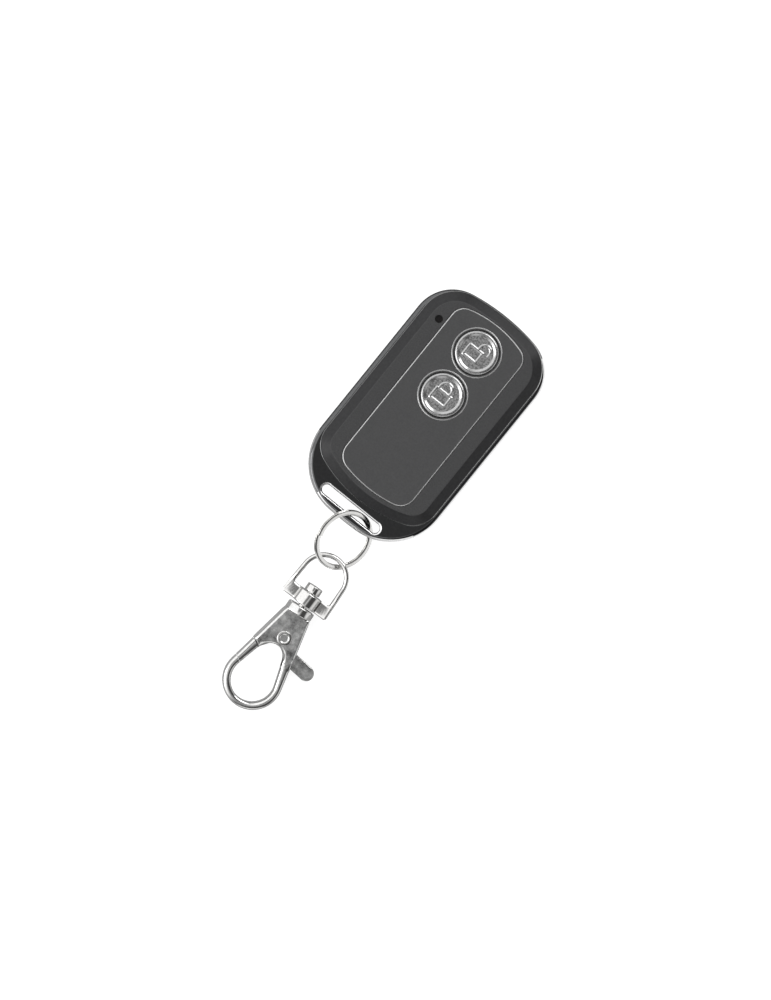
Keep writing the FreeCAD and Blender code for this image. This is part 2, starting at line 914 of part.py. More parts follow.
# Two upright legs joined by a half circle, open below.
def draw_shackle(pen, centre_x, foot_y, mid_y, outer):
    inner = outer - s.icon_line
    mid = (centre_x, mid_y)
    over = pen.arc(mid, outer, 0, math.pi)
    left_out = pen.line((centre_x - outer, mid_y), (centre_x - outer, foot_y))
    left_foot = pen.line((centre_x - outer, foot_y), (centre_x - inner, foot_y))
    left_in = pen.line((centre_x - inner, foot_y), (centre_x - inner, mid_y))
    under = pen.arc(mid, inner, 0, math.pi)
    right_in = pen.line((centre_x + inner, mid_y), (centre_x + inner, foot_y))
    right_foot = pen.line((centre_x + inner, foot_y), (centre_x + outer, foot_y))
    right_out = pen.line((centre_x + outer, foot_y), (centre_x + outer, mid_y))
    pen.rule("Tangent", over, 2, left_out, 1)
    pen.rule("Coincident", left_out, 2, left_foot, 1)
    pen.rule("Coincident", left_foot, 2, left_in, 1)
    pen.rule("Tangent", left_in, 2, under, 2)
    pen.rule("Tangent", under, 1, right_in, 1)
    pen.rule("Coincident", right_in, 2, right_foot, 1)
    pen.rule("Coincident", right_foot, 2, right_out, 1)
    pen.rule("Tangent", right_out, 2, over, 1)
    pen.rule("Horizontal", left_foot)
    pen.rule("Horizontal", right_foot)
    for index, radius in ((over, outer), (under, inner)):
        pen.radius(index, radius)
        pen.place(index, 3, mid)
    pen.measure("DistanceY", (left_foot, 1), foot_y)
    pen.measure("DistanceY", (right_foot, 1), foot_y)


def make_key(name, place, plunger_high):
    floor = key_high - s.dish_depth
    flange_high = roof_low - s.key_flange_gap
    flange_low = flange_high - s.key_flange_thickness
    stem_low = plunger_high + s.key_stem_gap
    body = new_body(f"{name}_button")
    centre = [(0, place)]
    pad(body, "stem", draw_discs(centre, s.key_stem_radius), stem_low, flange_low - stem_low)
    flange_radius = s.key_radius + s.key_flange_width
    pad(body, "flange", draw_discs(centre, flange_radius), flange_low, s.key_flange_thickness)
    pad(body, "cap", draw_discs(centre, s.key_radius), flange_high, key_high - flange_high)
    round_edges(body, "shoulder", s.key_edge_round, at_height(key_high))
    pocket(body, "dish", draw_discs(centre, s.dish_radius - s.dish_wall), floor, s.dish_depth)
    cut_edges(body, "dish_wall", s.dish_wall, at_inner_rim(key_high, s.dish_radius))

    left, right, shackle_x, shackle_radius = icon_sizes[name]
    low = place + s.icon_case_low
    high = place + s.icon_case_high

    def case(pen):
        draw_stroke_box(pen, left, right, low, high)

    def shackle(pen):
        foot = high - s.icon_line / 2
        draw_shackle(pen, shackle_x, foot, place + s.icon_shackle_centre, shackle_radius)

    pad(body, "icon_case", case, floor, s.icon_height)
    pad(body, "icon_shackle", shackle, floor, s.icon_height)


def at_inner_rim(height, radius):
    level = at_height(height)

    def test(edge):
        box = edge.BoundBox
        return level(edge) and box.XMax < float(radius) - 1e-3

    return test


def make_indicator():
    place = [(s.indicator_x, s.indicator_y)]
    led = new_body("indicator_led")
    pad(
        led,
        "block",
        lambda pen: draw_rectangle(
            pen,
            s.indicator_x - s.led_width / 2,
            s.indicator_x + s.led_width / 2,
            s.indicator_y - s.led_length / 2,
            s.indicator_y + s.led_length / 2,
        ),
        board_high,
        s.led_height,
    )
    lens = new_body("indicator_lens")
    foot_low = roof_low - s.lens_foot_height
    lens_radius = s.indicator_hole_radius - s.lens_clearance
    lens_high = cover_high - s.lens_recess
    pad(lens, "foot", draw_discs(place, s.lens_foot_radius), foot_low, s.lens_foot_height)
    pad(lens, "rod", draw_discs(place, lens_radius), roof_low, lens_high - roof_low)
    tip_low = board_high + s.led_height + s.led_gap
    pad(lens, "tip", draw_discs(place, lens_radius), tip_low, foot_low - tip_low)


def make_board_parts():
    def block(name, x, y, length, width, height):
        body = new_body(name)

        def draw(pen):
            half_x = length / 2
            half_y = width / 2
            draw_rectangle(pen, x - half_x, x + half_x, y - half_y, y + half_y)

        pad(body, "block", draw, board_high, height)
        return body

    chip = block("encoder_chip", s.chip_x, s.chip_y, s.chip_length, s.chip_width, s.chip_height)

    def leads(pen):
        for side in (-1, 1):
            for i in range(-3, 4):
                x = s.chip_x + s.chip_lead_pitch * i
                inner = s.chip_y + s.chip_width / 2 * side
                outer = s.chip_y + (s.chip_width / 2 + s.chip_lead_reach) * side
                low, high = (outer, inner) if side < 0 else (inner, outer)
                half = s.chip_lead_width / 2
                draw_rectangle(pen, x - half, x + half, low, high)

    pad(chip, "leads", leads, board_high, s.chip_lead_thickness)

    can = block(
        "resonator_can",
        s.resonator_x,
        s.resonator_y,
        s.resonator_width,
        s.resonator_length,
        s.resonator_height,
    )
    flange = s.resonator_rim

    def skirt(pen):
        draw_rectangle(
            pen,
            s.resonator_x - s.resonator_width / 2 - flange,
            s.resonator_x + s.resonator_width / 2 + flange,
            s.resonator_y - s.resonator_length / 2 - flange,
            s.resonator_y + s.resonator_length / 2 + flange,
        )

    pad(can, "skirt", skirt, board_high, flange)

    block(
        "output_transistor",
        s.transistor_x,
        s.transistor_y,
        s.transistor_length,
        s.transistor_width,
        s.transistor_height,
    )

    def row(name, y, count, height):
        body = new_body(name)

        def draw(pen):
            for i in range(count):
                x = s.chip_part_pitch * (i - (count - 1) / 2)
                half_width = s.chip_part_width / 2
                half_length = s.chip_part_length / 2
                draw_rectangle(pen, x - half_width, x + half_width, y - half_length, y + half_length)

        pad(body, "blocks", draw, board_high, height)

    row("chip_resistors", s.resistor_row, 4, s.resistor_height)
    row("chip_capacitors", s.capacitor_row, 5, s.capacitor_height)


# Open copper loop that runs round the lower half of the board.
def make_antenna():
    body = new_body("loop_antenna")
    outer = CAVITY.inset(s.board_clearance + s.antenna_inset)
    inner = outer.inset(s.antenna_width)
    pad(body, "loop", draw_ring(outer, inner), board_high, s.antenna_thickness)

    def upper_half(pen):
        draw_rectangle(pen, -s.cover_top, s.cover_top, 0, s.cover_top)

    pocket(body, "opening", upper_half, board_high, s.antenna_thickness)


def make_split_ring():
    pitch = s.ring_wire_thickness + s.ring_turn_gap
    inner = s.ring_outer_radius - s.ring_wire_width
    low = -(pitch * s.ring_turns + s.ring_wire_thickness) / 2
    body = new_body("split_ring")
    section = new_sketch(
        body,
        "wire",
        lambda pen: draw_rectangle(pen, inner, s.ring_outer_radius, low, low + s.ring_wire_thickness),
        "XZ_Plane",
    )
    coil = body.newObject("PartDesign::AdditiveHelix", "split_ring_coil")
    coil.Profile = section
    coil.ReferenceAxis = (section, ["V_Axis"])
    coil.Mode = "pitch-turns-angle"
    coil.Pitch = float(pitch)
    coil.Turns = float(s.ring_turns)
    bind(coil, "Pitch", pitch)
    bind(coil, "Turns", s.ring_turns)
    turn = Rotation(Vector(0, 0, 1), float(s.ring_end_angle))
    tilt = Rotation(Vector(0, 1, 0), float(s.ring_tilt))
    body.Placement = Placement(ring_centre(), tilt.multiply(turn))


def ring_centre():
    tilt = math.radians(float(s.ring_tilt))
    pitch = float(s.ring_wire_thickness + s.ring_turn_gap)
    half_stack = (pitch * float(s.ring_turns) + float(s.ring_wire_thickness)) / 2
    drop = float(s.ring_outer_radius) * math.sin(tilt) + half_stack * math.cos(tilt)
    slot_high = float(s.slot_centre + s.slot_width / 2)
    y = slot_high - float(s.ring_slot_gap) - float(s.ring_outer_radius)
    return Vector(float(s.ring_x), y, float(s.ring_floor_gap) + drop)


# The hook lies on its collar and on one side of its ring, so its axis dips towards the ring.
def rest_pitch():
    roll = math.radians(float(s.hook_roll))
    collar_low = float(s.collar_height - s.collar_top)
    round_radius = float(s.hook_ring_round)
    side = (float(hook_ring_radius) - round_radius) * math.sin(roll)
    edge = (float(s.hook_ring_thickness) / 2 - round_radius) * math.cos(roll) + round_radius
    drop = float(s.collar_radius) - side - edge
    return math.atan(drop / (-float(s.eye_bottom_centre) - collar_low))


# Local Y is the swivel's axis, pointing to the split ring.
def swivel_placement(lean, roll):
    pitch = rest_pitch()
    collar_low = float(s.collar_height - s.collar_top)
    height = float(s.rest_gap) + collar_low * math.sin(pitch) + float(s.collar_radius) * math.cos(pitch)
    y = ring_centre().y - float(s.ring_outer_radius + s.bow_hang)
    turn = Rotation(Vector(0, 0, 1), float(lean))
    dip = Rotation(Vector(1, 0, 0), math.degrees(pitch))
    spin = Rotation(Vector(0, 1, 0), float(roll))
    return Placement(Vector(float(s.swivel_x), y, height), turn.multiply(dip).multiply(spin))


# The bow's legs are tangent to its arch and end at the corners of its foot.
def bow_leg_lean():
    drop = float(s.bow_bar_bottom - s.bow_leg_top)
    reach = float(s.bow_foot_half_width)
    corner = math.hypot(reach, drop)
    return math.atan2(drop, reach) + math.acos(float(s.bow_arch_radius) / corner)


def make_swivel_bow():
    body = new_body("swivel_bow")
    half_depth = s.bow_wire_depth / 2
    mid = (0, s.bow_leg_top)
    lean = bow_leg_lean()

    # a D outline: an arch over legs that spread a little, and a straight foot
    def outline(pen, radius, foot_y):
        touch_x = float(radius) * math.cos(lean)
        touch_y = float(s.bow_leg_top) + float(radius) * math.sin(lean)
        foot_x = touch_x - (float(foot_y) - touch_y) * math.tan(lean)
        over = pen.arc(mid, radius, lean, math.pi - lean)
        left = pen.line((-touch_x, touch_y), (-foot_x, foot_y))
        foot = pen.line((-foot_x, foot_y), (foot_x, foot_y))
        right = pen.line((foot_x, foot_y), (touch_x, touch_y))
        pen.rule("Tangent", over, 2, left, 1)
        pen.rule("Coincident", left, 2, foot, 1)
        pen.rule("Coincident", foot, 2, right, 1)
        pen.rule("Tangent", right, 2, over, 1)
        pen.radius(over, radius)
        pen.place(over, 3, mid)
        pen.place(foot, 1, (-foot_x, foot_y))
        pen.place(foot, 2, (foot_x, foot_y))

    def arch(pen):
        outline(pen, s.bow_arch_radius, s.bow_bar_bottom)
        outline(pen, s.bow_arch_radius - s.bow_wire_width, s.bow_bar_top)

    pad(body, "arch", arch, -half_depth, s.bow_wire_depth)

    def rim(edge):
        flat = abs(abs(edge.BoundBox.ZMin) - float(half_depth)) < 1e-4
        return flat and edge.BoundBox.ZLength < 1e-4

    round_edges(body, "arch_edges", s.bow_wire_round, rim)
    height = s.bow_bar_top - s.bow_bar_bottom
    centre = [(0, 0)]
    boss_low = -s.bow_bar_top
    pad(body, "boss", draw_discs(centre, s.bow_boss_radius), boss_low, height, "XZ_Plane")
    pocket(body, "bore", draw_discs(centre, s.stud_radius + s.stud_clearance), boss_low, height, "XZ_Plane")
    body.Placement = swivel_placement(s.bow_lean, s.bow_roll)


# The profiles of the stud and the collar are turned about the swivel's own axis, local Y.
def make_swivel_stud():
    head_low = s.bow_bar_top + s.stud_head_gap
    head_high = head_low + s.stud_head_height
    tail = s.collar_top - s.collar_height - s.stud_tail
    cut = s.stud_head_cut
    profile = [
        (0, tail),
        (s.stud_radius, tail),
        (s.stud_radius, head_low),
        (s.stud_head_radius, head_low),
        (s.stud_head_radius, head_high - cut),
        (s.stud_head_radius - cut, head_high),
        (0, head_high),
    ]
    body = new_body("swivel_stud")
    revolve(body, "pin", lambda pen: draw_polygon(pen, profile), "XY_Plane", "V_Axis")
    body.Placement = swivel_placement(s.hook_lean, s.hook_roll)


# The hook's outer side line leans outwards from the collar and is tangent to the ring's circle.
def hook_side(y):
    lean = math.radians(float(s.hook_side_angle))
    ring = float(hook_ring_radius)
    mid = float(s.eye_bottom_centre)
    touch_x = ring * math.cos(lean)
    touch_y = mid + ring * math.sin(lean)
    return touch_x - (float(y) - touch_y) * math.tan(lean)


# The eye's side line is the common tangent of its two circles.
def eye_lean():
    spread = float(s.eye_bottom_radius) - float(s.eye_top_radius)
    apart = float(s.eye_top_centre) - float(s.eye_bottom_centre)
    return math.asin(spread / apart)


def eye_side(y):
    lean = eye_lean()
    touch_x = float(s.eye_bottom_radius) * math.cos(lean)
    touch_y = float(s.eye_bottom_centre) + float(s.eye_bottom_radius) * math.sin(lean)
    return touch_x - (float(y) - touch_y) * math.tan(lean)


def make_hook_body():
    body = new_body("hook_body")
    side = math.radians(float(s.hook_side_angle))
    lean = eye_lean()
    ring_half = s.hook_ring_thickness / 2
    plate_half = s.hook_plate_thickness / 2
    ring_mid = (0, s.eye_bottom_centre)
    plate_low_y = float(s.eye_top_centre + s.eye_top_radius - s.hook_ring_overlap)

    def ring(pen):
        start = (hook_side(plate_low_y), plate_low_y)
        touch = (
            float(hook_ring_radius) * math.cos(side),
            float(s.eye_bottom_centre) + float(hook_ring_radius) * math.sin(side),
        )
        nose_out = (-hook_side(s.nose_outer), s.nose_outer)
        nose_in = (-eye_side(s.nose_inner), s.nose_inner)
        eye_touch = (
            float(s.eye_bottom_radius) * math.cos(lean),
            float(s.eye_bottom_centre) + float(s.eye_bottom_radius) * math.sin(lean),
        )
        inner_top = (eye_side(plate_low_y), plate_low_y)
        right = pen.line(start, touch)
        bottom = pen.arc(ring_mid, hook_ring_radius, math.pi - side, side)
        left = pen.line((-touch[0], touch[1]), nose_out)
        face = pen.line(nose_out, nose_in)
        lip = pen.line(nose_in, (-eye_touch[0], eye_touch[1]))
        inside = pen.arc(ring_mid, s.eye_bottom_radius, math.pi - lean, lean)
        rise = pen.line(eye_touch, inner_top)
        close = pen.line(inner_top, start)
        pen.rule("Tangent", right, 2, bottom, 2)
        pen.rule("Tangent", bottom, 1, left, 1)
        pen.rule("Coincident", left, 2, face, 1)
        pen.rule("Coincident", face, 2, lip, 1)
        pen.rule("Tangent", lip, 2, inside, 1)
        pen.rule("Tangent", inside, 2, rise, 1)
        pen.rule("Coincident", rise, 2, close, 1)
        pen.rule("Coincident", close, 2, right, 1)
        pen.radius(bottom, hook_ring_radius)
        pen.place(bottom, 3, ring_mid)
        pen.radius(inside, s.eye_bottom_radius)
        pen.place(inside, 3, ring_mid)

    pad(body, "ring", ring, -ring_half, s.hook_ring_thickness)

    def ring_rim(edge):
        box = edge.BoundBox
        level = abs(abs(box.ZMin) - float(ring_half)) < 1e-4 and box.ZLength < 1e-4
        return level and box.YMax < plate_low_y + 1e-3 and box.YLength > 1e-3 and not is_nose(edge)

    def is_nose(edge):
        box = edge.BoundBox
        return abs(box.YMax - float(s.nose_outer)) < 1e-3 and abs(box.YMin - float(s.nose_inner)) < 1e-3

    round_edges(body, "ring_edges", s.hook_ring_round, ring_rim)

    def plate(pen):
        top = float(s.collar_top - s.collar_height + s.hook_plate_overlap)
        half = float(s.plate_top_half_width)
        right_end = float(s.hook_right_leg_end)
        touch = (
            float(s.eye_top_radius) * math.cos(lean),
            float(s.eye_top_centre) + float(s.eye_top_radius) * math.sin(lean),
        )
        knee = float(s.hook_knee)
        corners = [
            (-half, top),
            (-hook_side(knee), knee),
            (-hook_side(s.hook_left_leg_outer), float(s.hook_left_leg_outer)),
            (-eye_side(s.hook_left_leg_inner), float(s.hook_left_leg_inner)),
            (-touch[0], touch[1]),
        ]
        lines = [pen.line(corners[i], corners[i + 1]) for i in range(4)]
        arch = pen.arc((0, s.eye_top_centre), s.eye_top_radius, lean, math.pi - lean)
        others = [
            touch,
            (eye_side(right_end), right_end),
            (hook_side(right_end), right_end),
            (hook_side(knee), knee),
            (half, top),
            corners[0],
        ]
        more = [pen.line(others[i], others[i + 1]) for i in range(5)]
        chain = lines + [arch] + more
        for first, second in zip(lines, lines[1:]):
            pen.rule("Coincident", first, 2, second, 1)
        pen.rule("Coincident", lines[-1], 2, arch, 2)
        pen.rule("Coincident", arch, 1, more[0], 1)
        for first, second in zip(more, more[1:]):
            pen.rule("Coincident", first, 2, second, 1)
        pen.rule("Coincident", more[-1], 2, chain[0], 1)
        pen.radius(arch, s.eye_top_radius)
        pen.place(arch, 3, (0, s.eye_top_centre))

    pad(body, "plate", plate, -plate_half, s.hook_plate_thickness)

    def plate_rim(edge):
        box = edge.BoundBox
        return abs(abs(box.ZMin) - float(plate_half)) < 1e-4 and box.ZLength < 1e-4

    round_edges(body, "plate_edges", s.hook_plate_round, plate_rim)

    # both flat faces run down to the ring's thickness
    def slopes(pen):
        far = s.eye_bottom_centre
        fall_end = s.hook_face_end - s.hook_face_fall
        level = ring_half + s.hook_face_step
        for side in (1, -1):
            points = [
                (s.hook_face_end, plate_half * side),
                (fall_end, level * side),
                (far, level * side),
                (far, plate_half * side),
            ]
            draw_polygon(pen, points)

    pocket(body, "face_slopes", slopes, -hook_ring_radius, hook_ring_radius * 2, "YZ_Plane")

    cut = s.collar_edge_cut
    collar_low = s.collar_top - s.collar_height
    profile = [
        (0, collar_low),
        (s.collar_radius, collar_low),
        (s.collar_radius, s.collar_top - cut),
        (s.collar_radius - cut, s.collar_top),
        (0, s.collar_top),
    ]
    revolve(body, "collar", lambda pen: draw_polygon(pen, profile), "XY_Plane", "V_Axis")
    centre = [(0, 0)]
    bore_depth = s.collar_height + s.stud_tail
    pocket(body, "stud_bore", draw_discs(centre, s.stud_radius), -s.collar_top, bore_depth, "XZ_Plane")
    slot_reach = hook_ring_radius * 2

    def slot(pen):
        draw_rectangle(pen, -slot_reach, slot_reach, s.trigger_slot_bottom, s.trigger_slot_top)

    pocket(body, "trigger_slot", slot, -s.trigger_slot_width / 2, s.trigger_slot_width)
    rivet = [(s.rivet_x, s.rivet_y)]
    pocket(body, "rivet_hole", draw_discs(rivet, s.rivet_radius), -plate_half, s.hook_plate_thickness)
    body.Placement = swivel_placement(s.hook_lean, s.hook_roll)


def make_trigger():
    body = new_body("trigger")
    half = s.trigger_thickness / 2
    gate_half = s.hook_ring_thickness / 2
    gap = float(s.gate_gap)
    tilt = math.radians(float(s.lever_tilt))
    end = (float(s.lever_end_x), float(s.lever_end_y))
    radius = float(s.lever_end_radius)
    over = (end[0] + radius * math.sin(tilt), end[1] + radius * math.cos(tilt))
    under = (end[0] - radius * math.sin(tilt), end[1] - radius * math.cos(tilt))

    # one side of the web follows the lever's foot, the hub and the eye, the other the spring's seat
    def web(pen):
        rivet_x = float(s.rivet_x)
        rivet_y = float(s.rivet_y)
        lower_root = float(s.lever_lower_root)
        upper_root = float(s.lever_upper_root)
        waist_y = float(s.rivet_y - s.trigger_hub_radius + s.web_waist_rise)
        waist_half = float(s.web_waist_half)
        throat_y = float(s.hook_left_leg_inner + s.web_throat_rise)
        throat_x = float(s.web_throat_inset) - eye_side(s.hook_left_leg_inner)
        tongue_low = float(s.web_tongue_low)
        tongue_root = float(s.web_tongue_root)
        flank_high = float(s.web_flank_high)
        seat_half = float(s.spring_seat_width / 2)
        points = [
            under,
            (hook_side(lower_root), lower_root),
            (eye_side(lower_root) + float(s.web_lever_step), lower_root + float(s.web_lever_rise)),
            (rivet_x + waist_half, waist_y),
            (rivet_x - waist_half, waist_y),
            (throat_x, throat_y),
            (-eye_side(tongue_low), tongue_low),
            (float(s.web_tongue_inset) - hook_side(tongue_root), tongue_root),
            (float(s.web_flank_inset) - hook_side(flank_high), flank_high),
            (rivet_x - float(s.web_shoulder_reach), rivet_y + float(s.web_shoulder_rise)),
            (rivet_x, rivet_y + float(s.web_crest_rise)),
            (float(s.spring_x) - seat_half, float(s.spring_seat)),
            (float(s.spring_x) + seat_half, float(s.spring_seat)),
            (hook_side(upper_root), upper_root),
            over,
        ]
        lines = [pen.line(points[i], points[i + 1]) for i in range(len(points) - 1)]
        tip = pen.arc(end, radius, -math.pi / 2 - tilt, math.pi / 2 - tilt)
        for first, second in zip(lines, lines[1:]):
            pen.rule("Coincident", first, 2, second, 1)
        pen.rule("Coincident", lines[-1], 2, tip, 2)
        pen.rule("Coincident", tip, 1, lines[0], 1)
        pen.radius(tip, s.lever_end_radius)
        pen.place(tip, 3, (s.lever_end_x, s.lever_end_y))

    pad(body, "web", web, -half, s.trigger_thickness)
    hub = [(s.rivet_x, s.rivet_y)]
    pad(body, "hub", draw_discs(hub, s.trigger_hub_radius), -half, s.trigger_thickness)

    def gate(pen):
        top_out = float(s.hook_left_leg_outer) - gap
        top_in = float(s.hook_left_leg_inner) - gap
        low_out = float(s.nose_outer) + gap
        low_in = float(s.nose_inner) + gap
        draw_polygon(
            pen,
            [
                (-hook_side(top_out), top_out),
                (-hook_side(low_out), low_out),
                (-eye_side(low_in), low_in),
                (-eye_side(top_in), top_in),
            ],
        )

    pad(body, "gate", gate, -gate_half, s.hook_ring_thickness)

    def gate_rim(edge):
        box = edge.BoundBox
        level = abs(abs(box.ZMin) - float(gate_half)) < 1e-4 and box.ZLength < 1e-4
        return level and box.YLength > float(gate_half)

    round_edges(body, "gate_edges", s.hook_ring_round, gate_rim)
    hole = draw_discs(hub, s.rivet_radius + s.rivet_clearance)
    pocket(body, "rivet_hole", hole, -half, s.trigger_thickness)
    body.Placement = swivel_placement(s.hook_lean, s.hook_roll)


def make_trigger_rivet():
    body = new_body("trigger_rivet")
    face = s.hook_plate_thickness / 2
    place = [(s.rivet_x, s.rivet_y)]
    pad(body, "shank", draw_discs(place, s.rivet_radius), -face, s.hook_plate_thickness)
    pad(body, "upper_head", draw_discs(place, s.rivet_head_radius), face, s.rivet_head_height)
    low = -face - s.rivet_head_height
    pad(body, "lower_head", draw_discs(place, s.rivet_head_radius), low, s.rivet_head_height)
    dimple = draw_discs(place, s.rivet_dimple_radius)
    dimple_low = face + s.rivet_head_height - s.rivet_dimple_depth
    pocket(body, "upper_dimple", dimple, dimple_low, s.rivet_dimple_depth)
    pocket(body, "lower_dimple", dimple, low, s.rivet_dimple_depth)
    body.Placement = swivel_placement(s.hook_lean, s.hook_roll)


def make_trigger_spring():
    body = new_body("trigger_spring")
    ends = s.spring_wire_radius + s.spring_end_gap
    length = s.trigger_slot_top - s.spring_seat - ends * 2
    section = new_sketch(
        body,
        "wire",
        lambda pen: pen.circle((s.spring_coil_radius, 0), s.spring_wire_radius),
        "XZ_Plane",
    )
    coil = body.newObject("PartDesign::AdditiveHelix", "trigger_spring_coil")
    coil.Profile = section
    coil.ReferenceAxis = (section, ["V_Axis"])
    coil.Mode = "pitch-turns-angle"
    coil.Pitch = float(length / s.spring_turns)
    coil.Turns = float(s.spring_turns)
    bind(coil, "Pitch", length / s.spring_turns)
    bind(coil, "Turns", s.spring_turns)
    start = Vector(float(s.spring_x), float(s.spring_seat + ends), 0)
    stand = Placement(start, Rotation(Vector(1, 0, 0), -90))
    body.Placement = swivel_placement(s.hook_lean, s.hook_roll).multiply(stand)


def check_and_write():
    doc.recompute()
    faults = [obj.Name for obj in doc.Objects if set(obj.State) & {"Invalid", "Error"}]
    for node in nodes:
        if node.Shape.isNull() or not node.Shape.isValid():
            faults.append(node.Label)
    if faults:
        raise RuntimeError("failed objects: " + ", ".join(faults))
    os.makedirs(PARTS_FOLDER, exist_ok=True)
    for node in nodes:
        shape = node.Shape
        shape.exportStep(os.path.join(PARTS_FOLDER, f"{node.Label}.step"))
        print(f"{node.Label}: {len(shape.Solids)} solid(s), {shape.Volume:.3f} mm3")


make_rear_cover()
make_chrome_frame()
make_front_cover()
make_face_plate()
make_circuit_board()
make_case_screws()
make_coin_cell()
make_battery_clip()
make_battery_contact()
for key_name, key_place in key_places.items():
    make_key(key_name, key_place, make_switch(key_name, key_place))
make_indicator()
make_board_parts()
make_antenna()
make_split_ring()
make_swivel_bow()
make_swivel_stud()
make_hook_body()
make_trigger()
make_trigger_rivet()
make_trigger_spring()
check_and_write()
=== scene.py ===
import json
from math import acos, asin, atan2, cos, hypot, pi, radians, sin, sqrt, tan
import bpy
from mathutils import Matrix, Vector
from mathutils.kdtree import KDTree


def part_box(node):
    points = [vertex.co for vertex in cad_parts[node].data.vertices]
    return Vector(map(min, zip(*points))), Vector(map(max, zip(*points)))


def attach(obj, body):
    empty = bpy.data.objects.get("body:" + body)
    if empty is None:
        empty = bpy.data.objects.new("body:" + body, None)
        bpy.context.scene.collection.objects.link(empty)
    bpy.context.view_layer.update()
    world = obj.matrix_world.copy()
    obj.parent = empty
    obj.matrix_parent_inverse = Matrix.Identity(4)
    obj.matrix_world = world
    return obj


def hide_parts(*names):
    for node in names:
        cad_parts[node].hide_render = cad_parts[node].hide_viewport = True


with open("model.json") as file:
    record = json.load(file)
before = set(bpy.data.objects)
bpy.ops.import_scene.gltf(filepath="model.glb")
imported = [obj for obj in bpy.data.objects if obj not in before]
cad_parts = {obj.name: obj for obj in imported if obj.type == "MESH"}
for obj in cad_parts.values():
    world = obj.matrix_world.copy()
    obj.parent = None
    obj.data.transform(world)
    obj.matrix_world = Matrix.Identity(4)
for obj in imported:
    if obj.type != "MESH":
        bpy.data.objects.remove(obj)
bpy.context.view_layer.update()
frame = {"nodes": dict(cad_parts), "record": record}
nodes = frame["nodes"]

# Shapes are modelled in millimetres and made metres when a piece is finished.
millimetre = 0.001
mergeDistance = 0.0002  # loop points closer than this become one
clear = 0.01  # keeps a test of faces off a face's own level
overcut = 1.0  # how far a cutter stands past what it cuts

# steps round a full circle, and round a quarter of one
keyRound = 128
collarRound = 96
pinRound = 64
holeRound = 48
cornerSteps = 6
inward = 4  # an inset that only gives a profile's end its direction


def leaveEditMode():
    active = bpy.context.view_layer.objects.active
    if active and active.mode != "OBJECT":
        bpy.ops.object.mode_set(mode="OBJECT")


def pickOnly(*pieces):
    leaveEditMode()
    bpy.ops.object.select_all(action="DESELECT")
    for piece in pieces:
        piece.select_set(True)
    if pieces:
        bpy.context.view_layer.objects.active = pieces[0]


# edit mode with the whole mesh selected, and back with nothing selected
def openMesh():
    bpy.ops.object.mode_set(mode="EDIT")
    bpy.ops.mesh.select_all(action="SELECT")


def closeMesh():
    bpy.ops.mesh.select_all(action="DESELECT")
    bpy.ops.object.mode_set(mode="OBJECT")


def startLoop(name, points):
    pickOnly()
    bpy.ops.mesh.primitive_circle_add(vertices=len(points), radius=1)
    piece = bpy.context.object
    piece.name = name
    for vertex, point in zip(piece.data.vertices, points):
        vertex.co = point
    return piece


# extrudes the selected edge loop and sets each new vertex on its point of the next loop
def growLoop(piece, old, new):
    bpy.ops.object.mode_set(mode="EDIT")
    bpy.ops.mesh.extrude_edges_move()
    bpy.ops.object.mode_set(mode="OBJECT")
    tree = KDTree(len(old))
    for i, point in enumerate(old):
        tree.insert(point, i)
    tree.balance()
    for vertex in piece.data.vertices:
        if vertex.select:
            vertex.co = new[tree.find(vertex.co)[1]]


def recalculateNormals(piece):
    pickOnly(piece)
    openMesh()
    bpy.ops.mesh.normals_make_consistent(inside=False)
    closeMesh()


# closed = the last loop meets the first one, otherwise both ends are filled
def loftPiece(name, loops, closed=False):
    piece = startLoop(name, loops[0])
    chain = loops + [loops[0]] if closed else loops
    for old, new in zip(chain, chain[1:]):
        growLoop(piece, old, new)
    openMesh()
    bpy.ops.mesh.remove_doubles(threshold=mergeDistance)
    if not closed:
        bpy.ops.mesh.select_all(action="SELECT")
        bpy.ops.mesh.fill_holes(sides=0)
    closeMesh()
    recalculateNormals(piece)
    return piece


# cuts the mesh into strips across an axis
def sliceMesh(axis, places):
    bpy.ops.object.mode_set(mode="EDIT")
    for place in places:
        bpy.ops.mesh.select_all(action="SELECT")
        bpy.ops.mesh.bisect(plane_co=axis * place, plane_no=axis)
    closeMesh()


def applyModifiers(piece):
    pickOnly(piece)
    for modifier in list(piece.modifiers):
        bpy.ops.object.modifier_apply(modifier=modifier.name)


def combine(piece, tool, operation="DIFFERENCE"):
    modifier = piece.modifiers.new("combine", "BOOLEAN")
    modifier.operation = operation
    modifier.solver = "EXACT"
    modifier.object = tool
    applyModifiers(piece)
    bpy.data.objects.remove(tool)


# paints the piece with its slot's finish and each layer's faces with the layer's own, then
# sets it in its place in metres and shades it smooth between crisp edges
def finishPiece(piece, body, slotName, node, layers=(), placement=None, sharpAngle=35):
    piece.data.materials.append(finishes[slotName])
    for material, test in layers:
        piece.data.materials.append(material)
        index = len(piece.data.materials) - 1
        for face in piece.data.polygons:
            if test(face):
                face.material_index = index
    piece.matrix_world = Matrix.Scale(millimetre, 4) @ (placement or Matrix.Identity(4))
    pickOnly(piece)
    bpy.ops.object.transform_apply(location=True, rotation=True, scale=True)
    bpy.ops.object.shade_smooth_by_angle(angle=radians(sharpAngle))
    modifier = piece.modifiers.new("evenNormals", "WEIGHTED_NORMAL")
    modifier.keep_sharp = True
    modifier.weight = 90
    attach(piece, body)
    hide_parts(node)


